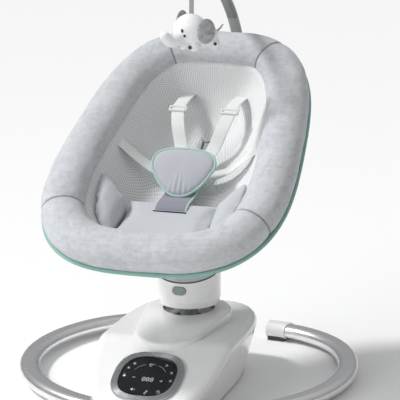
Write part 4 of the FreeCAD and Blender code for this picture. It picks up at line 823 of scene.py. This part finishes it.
class SWING_OT_rim_roll(bpy.types.Operator):
    """Make the padded roll round the seat, with its four seams, and its piping"""
    bl_idname = "swing.rim_roll"
    bl_label = "Rim roll and piping"

    def execute(self, context):
        seat = context.scene.swing_seat
        line = [outline(math.tau * index / LINE_STEPS)[0] for index in range(LINE_STEPS)]
        seams = [min(line, key=lambda point: (point - Vector((side * x, y, 0))).length)
                 for side in (-1, 1) for x, y in SEAMS]
        turns = even_turns(0.0065, seams)
        bm = bmesh.new()
        # A mask of painted shade along the seams' grooves, kept as the seam attribute.
        seam_shade = bm.verts.layers.float.new("seam")
        loops = []
        wide, high = seat.roll_width / 2, seat.roll_height / 2
        for turn in turns:
            centre, out = outline(turn)
            close = min((centre - seam).length for seam in seams)
            pinch = (1 - 0.07 * math.exp(-(close / 0.0020) ** 2)
                     - 0.03 * math.exp(-(close / 0.012) ** 2))
            def place(angle, centre=centre, out=out, pinch=pinch, close=close):
                point = centre + out * (wide * pinch * math.cos(angle)) + Vector(
                    (0, 0, high * pinch * math.sin(angle)))
                soft = noise.noise(point * 22) * 0.0012 + noise.noise(point * 60) * 0.0004
                pucker = math.exp(-close / 0.02) * 0.0006 * math.sin(angle * 14 + centre.x * 90)
                return point + (point - centre).normalized() * (soft + pucker)
            loops.append(loop(bm, 36, place))
            # The seam mask carries the painted shade in the seams' grooves.
            for vert in loops[-1][0]:
                vert[seam_shade] = math.exp(-(close / 0.0016) ** 2)
        skin(bm, loops, closed=True)
        move(bm, SEAT)
        roll = new_object("rim_roll_cover", bm, MATERIALS["velour"], "seat", "rim_roll")
        subdivide(roll)

        bm = bmesh.new()
        loops = []
        for turn in even_turns(0.006):
            centre, out = outline(turn, wide - 0.0018)
            centre.z = -high * 0.5
            loops.append(loop(bm, 10, lambda angle, centre=centre, out=out: centre
                              + out * PIPING_RADIUS * math.cos(angle)
                              + Vector((0, 0, PIPING_RADIUS * math.sin(angle)))))
        skin(bm, loops, closed=True)
        move(bm, SEAT)
        piping = new_object("rim_piping_cord", bm, MATERIALS["mint"], "seat", "rim_piping")
        return {"FINISHED"}


# The liner's top edge from the rim's line, and its levels: drawn in by, and height.
LINER_OFFSET = -0.0455
LINER_LEVELS = ((-0.006, 0.002), (-0.001, -0.007), (0.008, -0.026), (0.020, -0.0455),
                (0.036, -0.063), (0.053, -0.0755), (0.068, -0.0815), (0.083, -0.0845),
                (0.105, -0.086))


class SWING_OT_liner(bpy.types.Operator):
    """Make the stretched air-mesh liner inside the rim"""
    bl_idname = "swing.liner"
    bl_label = "Air-mesh liner"

    def execute(self, context):
        bm = bmesh.new()
        turns = even_turns(0.009)
        loops = []
        for drawn, height in LINER_LEVELS:
            places = [outline(turn, LINER_OFFSET, drawn)[0] + Vector((0, 0, height))
                      for turn in turns]
            loops.append(loop(bm, len(turns), lambda angle, places=places: places[
                round(angle / math.tau * len(places)) % len(places)]))
        skin(bm, loops)
        cap = bmesh.ops.contextual_create(bm, geom=loops[-1][0])["faces"]
        bmesh.ops.inset_region(bm, faces=cap, thickness=0.016)
        bmesh.ops.recalc_face_normals(bm, faces=bm.faces)
        if any(face.normal.z < -0.5 for face in bm.faces):
            bmesh.ops.reverse_faces(bm, faces=bm.faces)
        uv = bm.loops.layers.uv.new("cloth")
        middle = Vector((0, MIDDLE, 0))
        for face in bm.faces:
            for corner in face.loops:
                flat = (corner.vert.co - middle).xy
                corner[uv].uv = flat.normalized() * (flat.length + corner.vert.co.z * 0.5)
        move(bm, SEAT)
        liner = new_object("liner_cloth", bm, MATERIALS["air mesh"], "seat", "seat_liner")
        wall = liner.modifiers.new("thickness", "SOLIDIFY")
        wall.thickness = 0.0022
        wall.offset = -1
        return {"FINISHED"}


class SWING_OT_cushions(bpy.types.Operator):
    """Make the seat cushion and its two bolsters"""
    bl_idname = "swing.cushions"
    bl_label = "Seat cushion and bolsters"

    def execute(self, context):
        for node, cap in (("seat_cushion", 0.004), ("left_bolster", 0.006),
                          ("right_bolster", 0.006)):
            piece = new_object(node + "_cover", copy_of(node), MATERIALS["knit"], "seat", node)
            puff(piece, cap)
        return {"FINISHED"}


def belt(name, route, width, thick, material, side, *nodes):
    """A flat strap along a seat route, with its cloth map in metres."""
    path = smooth_path([Vector(point) for point in route], 10)
    bm = bmesh.new()
    tube(bm, path, width / 2, segments=16, side=side, thick=thick / 2)
    uv = bm.loops.layers.uv.new("cloth")
    spans = [0.0]
    for first, second in zip(path, path[1:]):
        spans.append(spans[-1] + (second - first).length)
    for face in bm.faces:
        for corner in face.loops:
            nearest = min(range(len(path)),
                          key=lambda index: (path[index] - corner.vert.co).length)
            offset = corner.vert.co - path[nearest]
            corner[uv].uv = (offset.dot(side.normalized()), spans[nearest])
    move(bm, SEAT)
    return new_object(name, bm, material, "seat", *nodes)


# The straps' middle lines on the right side, from where each leaves the liner.
SHOULDER = ((0.051, 0.176, -0.056), (0.051, 0.150, -0.042), (0.050, 0.122, -0.030),
            (0.050, 0.095, -0.025), (0.043, 0.062, -0.036), (0.031, 0.028, -0.058),
            (0.020, -0.006, -0.063), (0.015, -0.020, -0.063))
WAIST = ((0.134, -0.013, -0.015), (0.126, -0.016, -0.018), (0.104, -0.024, -0.034),
         (0.076, -0.032, -0.054), (0.050, -0.038, -0.062), (0.027, -0.042, -0.064))
CROTCH = ((0, -0.160, -0.064), (0, -0.155, -0.051), (0, -0.146, -0.0465), (0, -0.128, -0.049),
          (0, -0.104, -0.058), (0, -0.068, -0.065))
# Width and thickness of each band.
WEBBING, SLEEVE = (0.025, 0.0020), (0.058, 0.0026)


def flipped(route, side):
    return [(x * side, y, z) for x, y, z in route]


class SWING_OT_harness(bpy.types.Operator):
    """Make the webbing, the sliders and the crotch sleeve"""
    bl_idname = "swing.harness"
    bl_label = "Harness"

    def execute(self, context):
        for side, word in ((1, "right"), (-1, "left")):
            strap = belt(f"{word}_shoulder_webbing", flipped(SHOULDER, side), *WEBBING,
                         MATERIALS["webbing"], Vector((1, 0, 0)), f"{word}_shoulder_strap")
            strap = belt(f"{word}_waist_webbing", flipped(WAIST, side), *WEBBING,
                         MATERIALS["webbing"], Vector((0.15 * side, 1, 0)),
                         f"{word}_waist_strap")
        sleeve = belt("crotch_sleeve", CROTCH, *SLEEVE, MATERIALS["satin"],
                      Vector((1, 0, 0)), "crotch_strap")
        edge = bmesh.new()
        tube(edge, smooth_path([Vector((0.0290, y, z)) for _, y, z in CROTCH[1:]], 8), 0.0021,
             segments=10)
        move(edge, SEAT)
        new_object("sleeve_edging", edge, MATERIALS["pale mint"], "seat")

        # Painted shadow: a near-black strip along the slit where the sleeve goes into the
        # cushion.
        slot_shadow = bmesh.new()
        tube(slot_shadow, [Vector((x, -0.1565, -0.0470)) for x in (-0.031, -0.010, 0.010, 0.031)],
             0.0016, segments=8)
        move(slot_shadow, SEAT)
        new_object("sleeve_slot_shadow", slot_shadow, MATERIALS["dark thread and painted shadow"], "seat")

        bm = bmesh.new()
        for side in (-1, 1):
            middle = Vector((side * 0.050, 0.095, -0.025))
            for shift in (-0.0052, 0.0052):
                path = [middle + Vector((x, shift + y, 0.0012)) for x, y in (
                    (-0.0150, -0.0008), (-0.008, 0), (0.008, 0), (0.0150, -0.0008))]
                tube(bm, smooth_path(path, 4), 0.0022, segments=12)
            for end in (-1, 1):
                path = [middle + Vector((end * 0.0152, y, 0.0010)) for y in (-0.0062, 0, 0.0062)]
                tube(bm, smooth_path(path, 3), 0.0023, segments=12)
        move(bm, SEAT)
        sliders = new_object("strap_slider_frames", bm, MATERIALS["satin white"], "seat",
                             "strap_sliders")
        return {"FINISHED"}


# The pad's place on the seat, and its levels from back to front: shrunk by, and height.
PAD = Matrix.Translation((0, -0.062, -0.040)) @ Matrix.Rotation(math.radians(25), 4, "X")
PAD_LEVELS = ((0.75, -0.5), (0.45, -0.55), (0.2, -0.5), (0.06, -0.35), (0.0, 0.0),
              (0.05, 0.42), (0.14, 0.62), (0.28, 0.82), (0.45, 0.94), (0.65, 1.0),
              (0.85, 1.02))


def pad_outline(turn, shrink=0.0):
    """The crotch pad's rounded triangle, wide at the top."""
    across, along = math.cos(turn), math.sin(turn)
    width = 0.0715 * (0.73 + 0.255 * along) * (1.05 if along > 0 else 1.0 + 0.05 * along)
    x = math.copysign(abs(across) ** 0.80, across) * width
    y = math.copysign(abs(along) ** 0.92, along) * 0.0465
    y -= 0.004 * max(0.0, along) * (1 - abs(across)) * 0.4
    return Vector((x * (1 - shrink), y * (1 - shrink) + 0.002 * shrink, 0))


class SWING_OT_crotch_pad(bpy.types.Operator):
    """Make the rounded triangular crotch pad with its piping and gathers"""
    bl_idname = "swing.crotch_pad"
    bl_label = "Crotch pad"

    def execute(self, context):
        bm = bmesh.new()
        loops = []
        for shrink, height in PAD_LEVELS:
            def spot(turn, shrink=shrink, height=height):
                point = pad_outline(turn, shrink)
                low = max(0.0, -math.sin(turn)) ** 2
                gather = 0.0019 * low * math.sin(point.x * 640) * (1 - shrink) * (height > 0)
                sag = noise.noise(point * 45) * 0.0009
                point.z = 0.006 + height * 0.0085 + gather + sag
                return point
            loops.append(loop(bm, 72, spot))
        skin(bm, loops, caps=True)
        move(bm, SEAT @ PAD)
        pad = new_object("crotch_pad_cover", bm, MATERIALS["pad satin"], "seat", "crotch_pad")
        subdivide(pad)

        bm = bmesh.new()
        path = [pad_outline(math.tau * index / 90) * 1.012 + Vector((0, 0, 0.0062))
                for index in range(90)]
        tube(bm, path, 0.0026, segments=10, closed=True)
        move(bm, SEAT @ PAD)
        new_object("crotch_pad_piping", bm, MATERIALS["pale mint"], "seat")
        return {"FINISHED"}


class SWING_OT_toy(bpy.types.Operator):
    """Make the plush elephant and the strap that it hangs on"""
    bl_idname = "swing.toy"
    bl_label = "Plush toy"

    def execute(self, context):
        low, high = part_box("toy_strap")
        top = Vector((0, (low[1] + high[1]) / 2, high[2]))
        centre = Vector((0, top.y, 0.640))
        turn = Matrix.Translation(centre) @ Matrix.Rotation(math.radians(-32), 4, "Z")
        at = Matrix.Translation

        bm = bmesh.new()
        ball(bm, at((0, -0.002, 0.002)), (0.032, 0.031, 0.030))
        ball(bm, at((0.004, 0.026, -0.013)) @ Matrix.Rotation(0.25, 4, "X"),
             (0.023, 0.029, 0.020))
        for x, y in ((-0.013, -0.008), (0.016, -0.006), (-0.011, 0.038), (0.019, 0.038)):
            ball(bm, at((x, y, -0.025)), (0.010, 0.011, 0.011))
        trunk = smooth_path([Vector((0, -0.022, -0.006)), Vector((0, -0.036, -0.013)),
                             Vector((-0.002, -0.049, -0.013)), Vector((-0.004, -0.058, -0.005)),
                             Vector((-0.004, -0.060, 0.004))], 5)
        tube(bm, trunk, lambda share: 0.0145 - 0.0065 * share, segments=20)
        move(bm, turn)
        body = new_object("plush_body", bm, MATERIALS["plush"], "toy", "toy_body")
        remesh(body, 0.0016)
        soften(body, 6)

        bm = bmesh.new()
        for side in (-1, 1):
            rise = 0.010 if side < 0 else 0.003
            ball(bm, turn @ at((side * 0.0335, 0.006, rise))
                 @ Matrix.Rotation(math.radians(side * -14), 4, "Z"),
                 (0.0042, 0.0185, 0.0230), rings=16)
        ears = new_object("plush_ears", bm, MATERIALS["ear plush"], "toy", "toy_ears")

        bm = bmesh.new()
        for x, y, z, rx, rz in ((0.0105, -0.0310, 0.005, 0.0030, 0.0036),
                                (0.0135, -0.0290, -0.004, 0.0045, 0.0028)):
            ball(bm, at((x, y, z)), (rx, 0.0014, rz), 16, 10)
        for x, y in ((-0.013, -0.0195), (0.0165, -0.0180)):
            ball(bm, at((x, y, -0.0260)), (0.0042, 0.0016, 0.0036), 16, 10)
        ball(bm, at((0.0270, 0.0335, -0.0240)), (0.0024, 0.0036, 0.0030), 16, 10)
        move(bm, turn)
        new_object("plush_stitches", bm, MATERIALS["dark thread and painted shadow"], "toy")

        bm = bmesh.new()
        tail = smooth_path([Vector((0.006, 0.050, -0.008)), Vector((0.008, 0.060, -0.002)),
                            Vector((0.010, 0.067, 0.006))], 4)
        tube(bm, tail, lambda share: 0.0022 - 0.0007 * share, segments=10)
        move(bm, turn)
        new_object("plush_tail", bm, MATERIALS["ear plush"], "toy")

        bm = bmesh.new()
        path = [Vector((0, top.y, top.z - 0.003)), Vector((0.0002, top.y - 0.0002, top.z - 0.02)),
                Vector((0, top.y, centre.z + 0.024))]
        tube(bm, smooth_path(path, 8), 0.0043, segments=16, side=Vector((1, 0.2, 0)),
             thick=0.0007)
        eye = [top + Vector((0, 0.0023 * math.cos(angle), -0.003 + 0.0023 * math.sin(angle)))
               for angle in (math.tau * index / 16 for index in range(16))]
        tube(bm, eye, 0.0043, segments=12, side=Vector((1, 0, 0)), thick=0.0006, closed=True)
        strap = new_object("toy_ribbon", bm, MATERIALS["grey ribbon"], "toy", "toy_strap")
        return {"FINISHED"}


OPERATORS = (SWING_OT_stage, SWING_OT_finishes, SWING_OT_display, SWING_OT_rim_roll,
             SWING_OT_liner, SWING_OT_cushions, SWING_OT_harness, SWING_OT_crotch_pad,
             SWING_OT_toy)


class SWING_PT_panel(bpy.types.Panel):
    """Lists the build steps"""
    bl_label = "Baby Swing"
    bl_idname = "SWING_PT_panel"
    bl_space_type = "VIEW_3D"
    bl_region_type = "UI"
    bl_category = "Swing"

    def draw(self, context):
        for operator in OPERATORS:
            self.layout.operator(operator.bl_idname)


SETTINGS = (("swing_seat", SwingSeatSettings), ("swing_finish", SwingFinishSettings),
            ("swing_stage", SwingStageSettings))


def register():
    for name, group in SETTINGS:
        bpy.utils.register_class(group)
        setattr(bpy.types.Scene, name, bpy.props.PointerProperty(type=group))
    for operator in OPERATORS:
        bpy.utils.register_class(operator)
    bpy.utils.register_class(SWING_PT_panel)


def unregister():
    bpy.utils.unregister_class(SWING_PT_panel)
    for operator in reversed(OPERATORS):
        bpy.utils.unregister_class(operator)
    for name, group in SETTINGS:
        delattr(bpy.types.Scene, name)
        bpy.utils.unregister_class(group)


def main():
    register()
    for operator in OPERATORS:
        getattr(bpy.ops.swing, operator.bl_idname.split(".")[1])()


if __name__ == "__main__":
    main()
